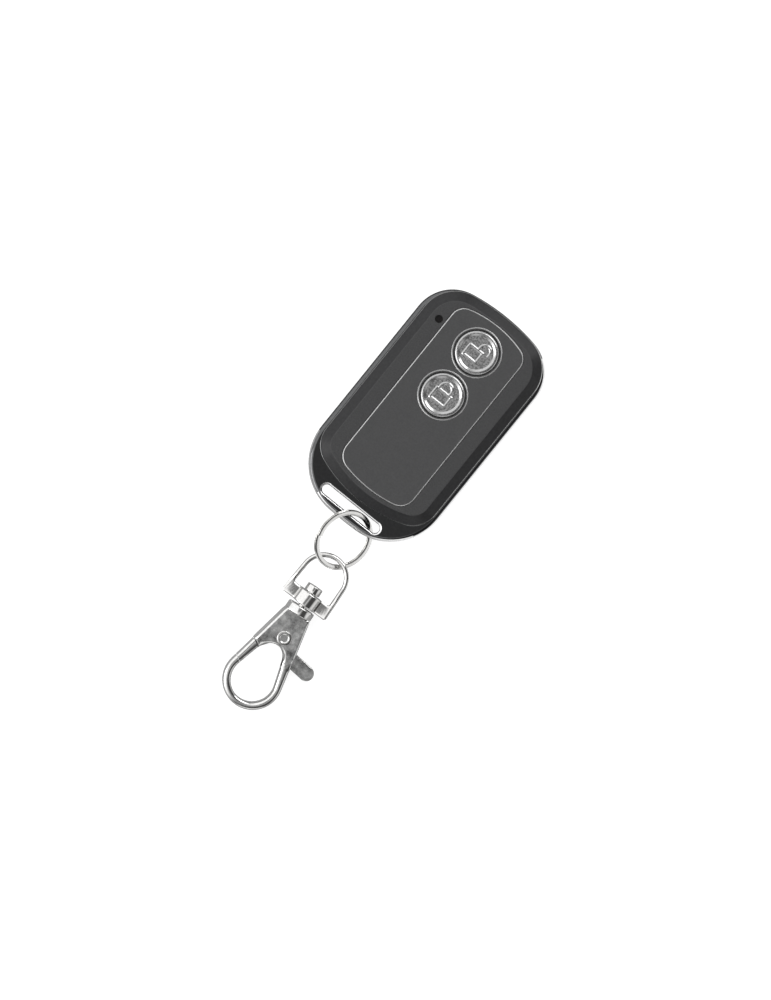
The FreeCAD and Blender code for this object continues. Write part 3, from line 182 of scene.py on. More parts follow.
# rounds the corners of a profile given as (inset, height, radius) steps
def roundProfile(steps, segments):
    rounded = []
    for i, (u, v, radius) in enumerate(steps):
        if not radius or i in (0, len(steps) - 1):
            rounded.append((u, v))
            continue
        corner = Vector((u, v))
        before = (Vector(steps[i - 1][:2]) - corner).normalized()
        after = (Vector(steps[i + 1][:2]) - corner).normalized()
        half = before.angle(after) / 2
        reach = radius / tan(half)
        middle = corner + (before + after).normalized() * (radius / sin(half))
        first = corner + before * reach - middle
        last = corner + after * reach - middle
        turn = first.angle_signed(last)
        for k in range(segments + 1):
            spin = Matrix.Rotation(-turn * k / segments, 2)
            point = middle + spin @ first
            rounded.append((point.x, point.y))
    return rounded


# the skin of an upright wall with both rims rounded
def roundWall(low, high, radius, segments):
    steps = [(inward, low, 0), (0, low, radius), (0, high, radius), (inward, high, 0)]
    return roundProfile(steps, segments)[1:-1]


def arcPoint(x, y, radius, angle, z=0):
    return Vector((x + radius * cos(angle), y + radius * sin(angle), z))


# a piece turned about Z from (radius, height) steps
def turnPiece(name, x, y, profile, count=collarRound, closed=False):
    loops = []
    for radius, z in profile:
        angles = [2 * pi * i / count for i in range(count)]
        loops.append([arcPoint(x, y, radius, angle, z) for angle in angles])
    return loftPiece(name, loops, closed)


# the same turned about Y, with the heights along it
def turnAlongY(name, profile, count=collarRound, closed=False):
    piece = turnPiece(name, 0, 0, profile, count, closed)
    piece.matrix_world = Matrix.Rotation(radians(-90), 4, "X")
    pickOnly(piece)
    bpy.ops.object.transform_apply(location=True, rotation=True, scale=True)
    return piece


# a rectangle with round corners
def boxPoints(left, right, low, high, radius, z):
    points = []
    corners = [(right, high, 0), (left, high, 90), (left, low, 180), (right, low, 270)]
    for x, y, start in corners:
        centreX = x - radius if x == right else x + radius
        centreY = y - radius if y == high else y + radius
        for i in range(cornerSteps + 1):
            angle = radians(start + 90 * i / cornerSteps)
            points.append(arcPoint(centreX, centreY, radius, angle, z))
    return points


# outline of both covers
coverOutline = {
    "halfWidth": 16.0, "top": 29.55, "bottom": -24.3, "topCurve": 57.0, "bottomCurve": 33.0,
    "topCorner": 8.8, "bottomCorner": 6.5,
}
# corners along the outline of the frame, the covers and the face plate
outlineSteps = {"end": 24, "corner": 18, "side": 12}


# bowed ends, round corners and straight sides; the same count of points for every inset
def outlinePoints(size, inset, z):
    half = size["halfWidth"] - inset
    topMid = size["top"] - size["topCurve"]
    lowMid = size["bottom"] + size["bottomCurve"]
    points = []

    def sweep(x, y, radius, start, end, steps):
        for i in range(steps):
            points.append(arcPoint(x, y, radius, start + (end - start) * i / steps, z))

    def straight(x, start, end):
        steps = outlineSteps["side"]
        for i in range(steps):
            points.append(Vector((x, start + (end - start) * i / steps, z)))

    def cornerPlace(curve, corner, mid, toward):
        across = size["halfWidth"] - corner
        along = sqrt((curve - corner) ** 2 - across**2)
        return across, mid + toward * along, atan2(along, across)

    topX, topY, topAngle = cornerPlace(size["topCurve"], size["topCorner"], topMid, 1)
    lowX, lowY, lowAngle = cornerPlace(size["bottomCurve"], size["bottomCorner"], lowMid, -1)
    turn = pi
    lowEnd, topEnd = size["bottomCurve"] - inset, size["topCurve"] - inset
    lowCorner, topCorner = size["bottomCorner"] - inset, size["topCorner"] - inset
    end, corner = outlineSteps["end"], outlineSteps["corner"]
    sweep(0, lowMid, lowEnd, turn + lowAngle, 2 * turn - lowAngle, end)
    sweep(lowX, lowY, lowCorner, -lowAngle, 0, corner)
    straight(half, lowY, topY)
    sweep(topX, topY, topCorner, 0, topAngle, corner)
    sweep(0, topMid, topEnd, topAngle, turn - topAngle, end)
    sweep(-topX, topY, topCorner, turn - topAngle, turn, corner)
    straight(-half, topY, lowY)
    sweep(-lowX, lowY, lowCorner, turn, turn + lowAngle, corner)
    return points


def outlineLoops(size, profile):
    return [outlinePoints(size, inset, z) for inset, z in profile]


# plated frame with the lug's slot
caseFrame = {
    "halfWidth": 17.3, "top": 29.95, "bottom": -30.4, "topCurve": 50.5, "bottomCurve": 90.0,
    "topCorner": 10.0, "bottomCorner": 14.0, "low": 3.65, "high": 6.65, "edgeRound": 1.1,
    "openingInset": 1.1, "lip": 0.14, "lipLean": 0.04, "slotCentre": -27.1,
    "slotLength": 16.5, "slotWidth": 2.3, "slotRound": 0.5,
    "slotMargin": 0.3,  # how far the slot's cutter stands past the frame
    "slotSteps": 6,
    "slotSlope": 0.35,  # slopes are heights of a face's normal, 1 being flat
    "edgeSlope": 0.7, "lugSlope": 0.86, "lipSlope": 0.95, "lugTop": -23.0, "lugLeft": -8.0,
    "highlightRight": 12.5,  # the edge stays smoked, without its painted highlight, left of this and above the next setting's level
    "highlightLow": -18.0,
}


def slotPoints(radius, z, count=24):
    reach = (caseFrame["slotLength"] - caseFrame["slotWidth"]) / 2
    points = []
    for side, start in ((1, -0.5), (-1, 0.5)):
        for i in range(count + 1):
            angle = pi * (i / count + start)
            points.append(arcPoint(side * reach, caseFrame["slotCentre"], radius, angle, z))
    return points


def makeCaseFrame():
    size = caseFrame
    low, high, lip = size["low"], size["high"], size["lip"]
    opening = size["openingInset"]
    loops = [outlinePoints(coverOutline, opening, low)]
    loops += outlineLoops(size, roundWall(low, high, size["edgeRound"], segments=10))
    rim = [(-lip, high), (-size["lipLean"], high + lip), (opening, high + lip)]
    piece = loftPiece("caseFrameBand", loops + outlineLoops(coverOutline, rim), closed=True)
    radius, curve = size["slotWidth"] / 2, size["slotRound"]
    flare = [(curve, low - size["slotMargin"])]
    for i in range(size["slotSteps"] + 1):
        angle = pi / 2 * i / size["slotSteps"]
        flare.append((curve - curve * sin(angle), low + curve - curve * cos(angle)))
    flare += [(extra, low + high - z) for extra, z in reversed(flare)]
    combine(piece, loftPiece("slotCutter", [slotPoints(radius + extra, z) for extra, z in flare]))
    return piece


# the rounded rim of the slot, and the rounded outer edge at the right and round the lug, which get
# a brighter chrome as a painted highlight
def onFrameEdge(face):
    size = caseFrame
    x, y, z = face.center
    reach = (size["slotLength"] - size["slotWidth"]) / 2
    away = hypot(max(abs(x) - reach, 0), y - size["slotCentre"])
    if away < size["slotWidth"] / 2 + size["slotRound"] - 2 * clear:
        return face.normal.z > size["slotSlope"]
    # the painted highlight runs along the right side and round the lug, not along the left or the
    # top
    highlighted = x > size["highlightRight"] or y < size["highlightLow"]
    slope = size["lugSlope"] if y < size["lugTop"] and x > size["lugLeft"] else size["edgeSlope"]
    return highlighted and face.normal.z < slope and z < size["high"]


# the lip by the cover, which gets brighter chrome as a painted highlight line
def onFrameLip(face):
    return face.center.z > caseFrame["high"] + clear and face.normal.z < caseFrame["lipSlope"]


# dark cover on the keys' side
upperShell = {
    "low": 6.65, "high": 11.2, "bevelWidth": 2.25, "bevelHeight": 1.6, "footRound": 0.1,
    "bevelFootRound": 0.5, "bevelTopRound": 0.45, "wall": 2.4, "roof": 9.45, "lip": 1.2,
    "lipDepth": 1.0, "recessRound": 0.12,
    "recessFloor": 1.0,  # inset of the recess's last loop, which is filled
    "holeRadius": 5.255, "lamp": (-11.65, 19.7), "lampRadius": 0.85,
    "lampFlare": [(0, -0.12), (0.04, -0.04), (0.14, 0)],  # from the wall out to the face
    "cutLow": 8.5, "cutHigh": 12.0, "bevelFoot": 6.7, "bevelSlope": 0.93,
}


def makeUpperShell():
    size = upperShell
    low, high, wall, lip = size["low"], size["high"], size["wall"], size["lip"]
    cutLow, cutHigh = size["cutLow"], size["cutHigh"]
    foot = low - size["lipDepth"]
    inner = [(wall, size["roof"]), (wall, foot), (lip, foot), (lip, low)]
    skin = [(lip, low, 0), (0, low, size["footRound"])]
    skin += [(0, high - size["bevelHeight"], size["bevelFootRound"])]
    skin += [(size["bevelWidth"], high, size["bevelTopRound"]), (inward, high, 0)]
    gap, floor = facePlate["clearance"], facePlate["low"]
    recess = [(-inward, high, 0), (-gap, high, size["recessRound"]), (-gap, floor, 0)]
    recess.append((size["recessFloor"], floor, 0))
    loops = outlineLoops(coverOutline, inner + roundProfile(skin, segments=5)[1:-1])
    loops += outlineLoops(facePlate, roundProfile(recess, segments=3)[1:])
    piece = loftPiece("upperShellCover", loops)
    hole = size["holeRadius"]
    for key in ("unlock", "lock"):
        combine(piece, turnPiece("keyHole", 0, pushKeys[key], [(hole, cutLow), (hole, cutHigh)]))
    radius = size["lampRadius"]
    flare = [(radius + extra, high + drop) for extra, drop in size["lampFlare"]]
    steps = [(radius, cutLow)] + flare + [(flare[-1][0], cutHigh)]
    combine(piece, turnPiece("lampHole", *size["lamp"], steps, holeRound))
    return piece


# the shell's bevel, which is painted darker as shade
def onShellBevel(face):
    return face.normal.z < upperShell["bevelSlope"] and face.center.z > upperShell["bevelFoot"]


# cover on the back, with posts and wells for four screws
lowerShell = {
    "high": 3.65, "floor": 1.2, "edgeCut": 1.2, "edgeRound": 0.4, "rimRound": 0.1,
    "lipRise": 1.0, "postRadius": 1.9, "postLow": 0.6, "postHigh": 5.0, "wellRadius": 1.75,
    "wellHigh": 1.3, "wellCut": 0.1, "screwHoleRadius": 0.95, "screwHoleHigh": 6.0,
    "screws": [(9.5, 24.0), (-9.5, 24.0), (9.3, -16.5), (-9.3, -16.5)],
}


def makeLowerShell():
    size = lowerShell
    wall, lip, high = upperShell["wall"], upperShell["lip"], size["high"]
    top, cut, curve = high + size["lipRise"], size["edgeCut"], size["edgeRound"]
    inner = [(wall, size["floor"]), (wall, top), (lip, top), (lip, high)]
    skin = [(lip, high, 0), (0, high, size["rimRound"]), (0, cut, curve), (cut, 0, curve)]
    rounded = roundProfile(skin + [(inward, 0, 0)], segments=4)[1:-1]
    loops = outlineLoops(coverOutline, inner + rounded)
    piece = loftPiece("lowerShellCover", loops)
    post = [(size["postRadius"], size["postLow"]), (size["postRadius"], size["postHigh"])]
    radius, ceiling, hole = size["wellRadius"], size["wellHigh"], size["screwHoleRadius"]
    rim = radius + size["wellCut"]
    well = [(rim, -overcut), (rim, 0), (radius, size["wellCut"]), (radius, ceiling)]
    well += [(hole, ceiling), (hole, size["screwHoleHigh"])]
    for x, y in size["screws"]:
        combine(piece, turnPiece("screwPost", x, y, post, holeRound), "UNION")
        combine(piece, turnPiece("screwWell", x, y, well, holeRound))
    return piece


# grey sheet in the upper cover's face
facePlate = {
    "halfWidth": 10.05, "top": 27.0, "bottom": -21.0, "topCurve": 27.0, "bottomCurve": 32.0,
    "topCorner": 3.5, "bottomCorner": 4.0, "low": 10.75, "high": 11.35, "edgeCut": 0.25,
    "openingRadius": 5.62, "openingCone": 0.3, "openingFoot": 0.05, "clearance": 0.05,
    "coneSlope": (0.3, 0.95), "edgeSlope": 0.9,
}


def makeFacePlate():
    size = facePlate
    low, high, cut = size["low"], size["high"], size["edgeCut"]
    loops = outlineLoops(size, [(0, low), (0, high - cut), (cut, high)])
    piece = loftPiece("facePlateSheet", loops)
    radius = size["openingRadius"]
    cone, rim = radius - size["openingCone"], radius + cut
    steps = [(cone, low - overcut), (cone, low + size["openingFoot"])]
    steps += [(radius, high - cut), (rim, high), (rim, high + overcut)]
    for key in ("unlock", "lock"):
        combine(piece, turnPiece("keyOpening", 0, pushKeys[key], steps, keyRound))
    return piece


def onPlateCone(face):
    steep, flat = facePlate["coneSlope"]
    foot = facePlate["high"] - facePlate["edgeCut"]
    return steep < face.normal.z < flat and face.center.z < foot


def onPlateEdge(face):
    foot = facePlate["high"] - facePlate["edgeCut"]
    return face.center.z > foot and face.normal.z < facePlate["edgeSlope"]


# dished keys with raised padlocks
pushKeys = {
    "unlock": 19.1, "lock": 6.6,  # places along Y
    "radius": 5.12, "high": 11.65, "shoulder": 0.6, "dishRadius": 4.4,
    "dishWall": 0.5, "dishDepth": 0.35, "dishRim": 0.06, "dishCorner": 0.15,
    "dishCentre": 2.0, "flangeRadius": 5.925, "flangeHigh": 9.35, "flangeLow": 8.75,
    "stemRadius": 1.5, "iconLine": 0.8, "iconHeight": 0.2, "iconSlope": 0.28,
    "iconRoot": 0.1, "iconRound": 0.1, "caseLow": -2.45, "caseHigh": 1.05,
    "caseRound": 0.45, "caseRoundLeast": 0.08,
    "caseRoundLoss": 0.5,  # of each inset
    "shackleCentre": 1.4, "shackleSteps": 24, "highlightDepth": 0.62,
    "highlightSlope": (0.05, 0.96),
}
padlocks = {
    "unlock": {"left": -2.75, "right": 1.65, "shackleX": 1.3, "shackleRadius": 1.75},
    "lock": {"left": -2.5, "right": 2.4, "shackleX": -0.15, "shackleRadius": 1.9},
}


# the icon's body as a closed band, and its shackle as the same band swept up one leg, over
# the arch and down the other
def makePadlock(name, floor):
    size, lock = pushKeys, padlocks[name]
    line, slope, curve = size["iconLine"], size["iconSlope"], size["iconRound"]
    top, root = floor + size["iconHeight"], floor - size["iconRoot"]
    steps = [(0, root, 0), (0, floor, 0), (slope, top, curve)]
    steps += [(line - slope, top, curve), (line, floor, 0), (line, root, 0)]
    band = roundProfile(steps, segments=3)
    caseLow, caseHigh = size[name] + size["caseLow"], size[name] + size["caseHigh"]
    loops = []
    for inset, z in band:
        radius = size["caseRound"] - inset * size["caseRoundLoss"]
        radius = max(radius, size["caseRoundLeast"])
        left, right = lock["left"] + inset, lock["right"] - inset
        loops.append(boxPoints(left, right, caseLow + inset, caseHigh - inset, radius, z))
    case = loftPiece(name + "IconCase", loops, closed=True)
    outer, x, count = lock["shackleRadius"], lock["shackleX"], size["shackleSteps"]
    arch, foot = size[name] + size["shackleCentre"], caseHigh - line / 2
    stations = [(arch, pi * (1 - i / count)) for i in range(count + 1)]
    loops = []
    for y, angle in [(foot, pi)] + stations + [(foot, 0)]:
        loops.append([arcPoint(x, y, outer - inset, angle, z) for inset, z in band])
    return case, loftPiece(name + "IconShackle", loops)


def makeKey(name):
    size = pushKeys
    high, flange, dish = size["high"], size["flangeRadius"], size["dishRadius"]
    floor = high - size["dishDepth"]
    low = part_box(name + "_button")[0].z / millimetre
    steps = [(size["stemRadius"], low, 0), (size["stemRadius"], size["flangeLow"], 0)]
    steps += [(flange, size["flangeLow"], 0), (flange, size["flangeHigh"], 0)]
    steps += [(size["radius"], size["flangeHigh"], 0), (size["radius"], high, size["shoulder"])]
    steps += [(dish, high, size["dishRim"]), (dish - size["dishWall"], floor, size["dishCorner"])]
    steps.append((size["dishCentre"], floor, 0))
    profile = roundProfile(steps, segments=6)
    piece = turnPiece(name + "KeyCap", 0, size[name], profile, keyRound)
    pickOnly(piece, *makePadlock(name, floor))
    bpy.ops.object.join()
    return piece


# slopes near the key's top, which get brighter metal as a painted highlight
def onKeySlope(face):
    steep, flat = pushKeys["highlightSlope"]
    floor = pushKeys["high"] - pushKeys["highlightDepth"]
    return face.center.z > floor and steep < face.normal.z < flat


# split ring, coiled from a flat wire with crowned faces
splitRing = {
    "place": (3.17, -33.75, 5.1281), "tilt": 38.0, "endAngle": 202.0, "radius": 7.5,
    "wireWidth": 1.2, "wireThickness": 0.33, "wireRound": 0.12, "wireCrown": 0.1,
    "crownSteps": 8, "turnGap": 0.115, "turns": 2, "steps": 144,
}


def wireSection(inner, low):
    size = splitRing
    outer, high = size["radius"], low + size["wireThickness"]
    outline = boxPoints(inner, outer, low, high, size["wireRound"], 0)
    section = []
    for i, point in enumerate(outline):
        section.append(Vector((point.x, 0, point.y)))
        # both broad faces get points between their corners, so that they can be crowned
        if i in (cornerSteps, 3 * cornerSteps + 2):
            across = outline[i + 1].x - point.x
            for k in range(1, size["crownSteps"]):
                section.append(Vector((point.x + across * k / size["crownSteps"], 0, point.y)))
    middle, centre = (inner + outer) / 2, (low + high) / 2
    for point in section:
        fall = size["wireCrown"] * ((point.x - middle) / (size["wireWidth"] / 2)) ** 2
        point.z = centre + (point.z - centre) * (1 - fall / (size["wireThickness"] / 2))
    return section


def makeSplitRing():
    size = splitRing
    pitch = size["wireThickness"] + size["turnGap"]
    low = -(pitch * size["turns"] + size["wireThickness"]) / 2
    piece = startLoop("splitRingCoil", wireSection(size["radius"] - size["wireWidth"], low))
    modifier = piece.modifiers.new("coil", "SCREW")
    modifier.axis = "Z"
    modifier.angle = 2 * pi
    modifier.screw_offset = pitch
    modifier.iterations = size["turns"]
    modifier.steps = modifier.render_steps = size["steps"]
    modifier.use_merge_vertices = False
    applyModifiers(piece)
    openMesh()
    bpy.ops.mesh.fill_holes(sides=0)
    closeMesh()
    recalculateNormals(piece)
    return piece


ringPlacement = (
    Matrix.Translation(splitRing["place"])
    @ Matrix.Rotation(radians(splitRing["tilt"]), 4, "Y")
    @ Matrix.Rotation(radians(splitRing["endAngle"]), 4, "Z")
)

# bow, stud and hook share the swivel point, and their own Y is the swivel's axis
swivel = {
    "place": (5.3, -50.1, 3.6394), "pitch": 2.6446, "hookLean": 4.7, "hookRoll": 10.0,
    "bowLean": 2.0, "bowRoll": 5.0,
}


def swivelPlacement(lean, roll):
    return (
        Matrix.Translation(swivel["place"])
        @ Matrix.Rotation(radians(lean), 4, "Z")
        @ Matrix.Rotation(radians(swivel["pitch"]), 4, "X")
        @ Matrix.Rotation(radians(roll), 4, "Y")
    )


bowPlacement = swivelPlacement(swivel["bowLean"], swivel["bowRoll"])
hookPlacement = swivelPlacement(swivel["hookLean"], swivel["hookRoll"])

# D-shaped bow: an arch on two legs, with a bored boss in its bar
swivelBow = {
    "archRadius": 5.9, "footHalfWidth": 6.27, "wireWidth": 1.15, "wireDepth": 1.5,
    "wireRound": 0.54, "legTop": 6.65, "legSteps": 6, "archSteps": 48, "barSteps": 8,
    "barTop": 2.0, "barBottom": -1.25, "outerCorner": 0.6, "outerCornerLeast": 0.05,
    "innerCorner": 0.5,
    "strips": 11,  # on each side of the middle
    "stripWidth": 0.52,
    "barCrown": 0.74,  # how much of the bar's depth goes at its thin ends
    "crownStart": 1.5, "crownTop": 3.2, "crownFade": 1.2, "bossRadius": 3.2,
    "bossRound": 0.35, "boreRadius": 1.3,
}


# a D outline: an arch on two legs that spread a little, with a straight foot
def archPoints(radius, foot, corner, z):
    size = swivelBow
    mid = size["legTop"]
    drop, reach = size["barBottom"] - mid, size["footHalfWidth"]
    lean = atan2(drop, reach) + acos(size["archRadius"] / hypot(drop, reach))
    touchX, touchY = radius * cos(lean), mid + radius * sin(lean)
    legSteps, barSteps = size["legSteps"], size["barSteps"]
    points = []

    def legX(y):
        return touchX + (touchY - y) * tan(lean)

    def addLeg(side, order):
        for i in order:
            y = touchY + (foot + corner - touchY) * i / legSteps
            points.append(Vector((side * legX(y), y, z)))

    for i in range(size["archSteps"] + 1):
        angle = lean + (pi - 2 * lean) * i / size["archSteps"]
        points.append(arcPoint(0, mid, radius, angle, z))
    addLeg(-1, range(1, legSteps))
    for side, start in ((-1, 180), (1, 270)):
        x = side * (legX(foot + corner) - corner)
        for i in range(cornerSteps + 1):
            angle = radians(start + 90 * i / cornerSteps)
            points.append(arcPoint(x, foot + corner, corner, angle, z))
        if side < 0:
            for i in range(1, 2 * barSteps):
                points.append(Vector((-(legX(foot) - corner) * (1 - i / barSteps), foot, z)))
    addLeg(1, range(legSteps - 1, 0, -1))
    return points


def makeSwivelBow():
    size = swivelBow
    depth, low, high = size["wireDepth"] / 2, size["barBottom"], size["barTop"]
    skin = roundWall(-depth, depth, size["wireRound"], segments=6)
    outer, inner = size["archRadius"], size["archRadius"] - size["wireWidth"]
    loops = []
    for inset, z in skin:
        corner = max(size["outerCorner"] - inset, size["outerCornerLeast"])
        loops.append(archPoints(outer - inset, low + inset, corner, z))
    for inset, z in reversed(skin):
        loops.append(archPoints(inner + inset, high - inset, size["innerCorner"] + inset, z))
    piece = loftPiece("swivelBowArch", loops, closed=True)
    # the bar is cut into strips and thins out towards the left leg and from the right one
    strips = range(-size["strips"], size["strips"] + 1)
    sliceMesh(Vector((1, 0, 0)), [i * size["stripWidth"] for i in strips])
    crowned = size["footHalfWidth"] - size["crownStart"]
    for vertex in piece.data.vertices:
        x, y, z = vertex.co
        share = min(max((abs(x) - size["crownStart"]) / crowned, 0), 1)
        share = share**2 if x < 0 else 1 - share**2
        fade = min(max((size["crownTop"] - y) / size["crownFade"], 0), 1)
        vertex.co.z = z * (1 - size["barCrown"] * share * fade)
    bore, radius, curve = size["boreRadius"], size["bossRadius"], size["bossRound"]
    steps = [(bore, low, 0), (radius, low, curve), (radius, high, curve), (bore, high, 0)]
    ring = roundProfile(steps + [(bore, low, 0)], segments=5)[:-1]
    combine(piece, turnAlongY("bowBoss", ring, closed=True), "UNION")
    hole = [(bore, low - overcut), (bore, high + overcut)]
    combine(piece, turnAlongY("bowBore", hole, holeRound))
    return piece


# headed pin that joins the bow and the hook
swivelStud = {
    "radius": 1.1, "headRadius": 1.95, "headLow": 2.2, "headHigh": 3.95, "headFoot": 0.15,
    "headCut": 0.25, "headCentre": 0.6, "tail": -5.05,
}


def makeSwivelStud():
    size = swivelStud
    radius, head = size["radius"], size["headRadius"]
    steps = [(radius, size["tail"], 0), (radius, size["headLow"], 0)]
    steps += [(head, size["headLow"], size["headFoot"]), (head, size["headHigh"], size["headCut"])]
    steps.append((size["headCentre"], size["headHigh"], 0))
    return turnAlongY("swivelStudPin", roundProfile(steps, segments=4), pinRound)


# cast hook: collar, slotted body with flat faces, and a rounded ring open at the left
snapHook = {
    "collarRadius": 3.42, "collarTop": -1.75, "collarBottom": -3.75, "collarCut": 0.3,
    "collarOverlap": 0.4, "collarCentre": 0.5, "topHalfWidth": 3.1, "sideAngle": 12.1,
    "thickness": 4.6, "plateRound": 0.7, "knee": -4.6, "rightEnd": -16.2,
    "leftOuter": -13.75, "leftInner": -14.95, "eyeTop": -15.6, "eyeTopRadius": 3.4,
    "eyeTopSteps": 24, "eyeBottom": -22.05, "eyeBottomRadius": 5.2, "eyeBottomSteps": 72,
    "armLevels": (-13.2, -14.0, -14.8, -15.6, -16.4, -17.2, -18.0, -18.8, -19.6, -20.2),
    "bendStart": 14, "bendEnd": 166, "ringWidth": 1.85, "ringThickness": 3.0,
    "ringRound": 0.8, "noseOuter": -19.3, "noseInner": -20.3, "noseRoot": -20.35,
    "noseSlant": 0.35, "slotWidth": 1.9, "slotTop": -7.2, "slotBottom": -15.8,
    "slotLeft": -1.95, "slotShoulder": -9.2, "slotReach": 14.0,
    "seatGap": 0.19,  # room between the casting's closed left side and the trigger
    "seatLevel": -13.48, "faceEnd": -12.4, "faceDrop": 2.6, "faceSteps": 8,
    "grainEnd": -15.0,
    "grainLeast": 1.0,  # height from the middle plane
    "grainSlope": 0.9,
}
# thumb lever and gate in one casting; levels are along the hook
hookTrigger = {
    "rivet": (0.3, -9.95), "thickness": 1.6, "hubRadius": 1.95, "holeRadius": 1.06,
    "edgeRound": 0.22, "gateGap": 0.12, "gateSteps": 12, "lever": (9.54, -14.05),
    "leverRadius": 1.8, "leverTilt": 7.5, "leverSteps": 16,
    "springSeat": [(3.9, -10.1), (2.2, -10.1)],
    "crown": [(0, 1.3), (-2.0, 0.75)],  # from the rivet
    "leftSide": [(0.35, -13.6), (0.5, -15.2)],  # gap to the hook's side, and level
    "eyeLevel": -15.6, "gateRootGap": 0.3, "gateRootRise": 0.4, "bellyHalfWidth": 1.0,
    "bellyRise": 0.25, "upperRoot": -11.6, "lowerRoot": -15.3, "rootGap": 0.7,
    "rootRise": 0.35, "holeReach": 3.0, "grainLeft": -3.0,
}
# rivet with a dimple in both heads
triggerRivet = {
    "radius": 1.0, "headRadius": 1.75, "headHeight": 0.25, "headFoot": 0.03,
    "headRound": 0.2, "dimpleRadius": 1.1, "dimpleDepth": 0.15, "dimpleRim": 0.12,
    "dimpleWall": 0.2, "dimpleCorner": 0.04, "dimpleCentre": 0.5, "satinInset": 0.15,
    "holeReach": 4.0,
}
ringRadius = snapHook["eyeBottomRadius"] + snapHook["ringWidth"]
sideLean = radians(snapHook["sideAngle"])
eyeSpread = snapHook["eyeBottomRadius"] - snapHook["eyeTopRadius"]
eyeLean = asin(eyeSpread / (snapHook["eyeTop"] - snapHook["eyeBottom"]))


# half widths of the hook's outside and of its eye at a level
def sideAt(y, radius, lean):
    touch = snapHook["eyeBottom"] + radius * sin(lean)
    return radius * cos(lean) - (y - touch) * tan(lean)


def hookSide(y):
    return sideAt(y, ringRadius, sideLean)


def eyeSide(y):
    return sideAt(y, snapHook["eyeBottomRadius"], eyeLean)


# the eye's and the hook's side at two levels, on the right or on the left
def armStation(innerY, outerY, side=1):
    return Vector((side * eyeSide(innerY), innerY)), Vector((side * hookSide(outerY), outerY))


# a rounded bar through the inner and outer points of each station
def loftBar(name, stations):
    thickness, loops = snapHook["ringThickness"], []
    for inner, outer in stations:
        across = outer - inner
        width = across.length
        across.normalize()
        radius = min(snapHook["ringRound"], width / 2 - clear)
        loop = []
        for point in boxPoints(0, width, -thickness / 2, thickness / 2, radius, 0):
            flat = inner + across * point.x
            loop.append(Vector((flat.x, flat.y, point.y)))
        loops.append(loop)
    return loftPiece(name, loops)


def makeHookRing():
    size = snapHook
    stations = [armStation(y, y) for y in size["armLevels"]]
    start, end = radians(size["bendStart"]), radians(size["bendEnd"])
    centre, count = Vector((0, size["eyeBottom"])), size["eyeBottomSteps"]
    for i in range(1, count):
        angle = start - (2 * pi - (end - start)) * i / count
        direction = Vector((cos(angle), sin(angle)))
        inner = centre + direction * size["eyeBottomRadius"]
        stations.append((inner, centre + direction * ringRadius))
    root = size["noseRoot"]
    stations.append(armStation(root, root + size["noseSlant"], -1))
    stations.append(armStation(size["noseInner"], size["noseOuter"], -1))
    return loftBar("hookRing", stations)


# straight prism from a flat outline, its rims rounded with the bevel operator
def makePrism(name, outline, thickness, radius, segments):
    levels = (-thickness / 2, thickness / 2)
    loops = [[Vector((point[0], point[1], z)) for point in outline] for z in levels]
    piece = loftPiece(name, loops)
    bpy.ops.object.mode_set(mode="EDIT")
    bpy.ops.mesh.select_mode(type="EDGE")
    closeMesh()
    rim = thickness / 2 - clear
    for edge in piece.data.edges:
        first, last = (piece.data.vertices[i].co.z for i in edge.vertices)
        edge.select = abs(first) > rim and abs(last) > rim and first * last > 0
    bpy.ops.object.mode_set(mode="EDIT")
    bpy.ops.mesh.bevel(offset=radius, segments=segments, affect="EDGES", clamp_overlap=False)
    closeMesh()
    return piece


def hookOutline():
    size = snapHook
    top, knee, end = size["collarBottom"] + size["collarOverlap"], size["knee"], size["rightEnd"]
    outline = [(-size["topHalfWidth"], top), (-hookSide(knee), knee)]
    outline.append((-hookSide(size["leftOuter"]), size["leftOuter"]))
    outline.append((-eyeSide(size["leftInner"]), size["leftInner"]))
    count = size["eyeTopSteps"]
    for i in range(count + 1):
        angle = (pi - eyeLean) + (2 * eyeLean - pi) * i / count
        outline.append(arcPoint(0, size["eyeTop"], size["eyeTopRadius"], angle))
    outline += [(eyeSide(end), end), (hookSide(end), end)]
    return outline + [(hookSide(knee), knee), (size["topHalfWidth"], top)]


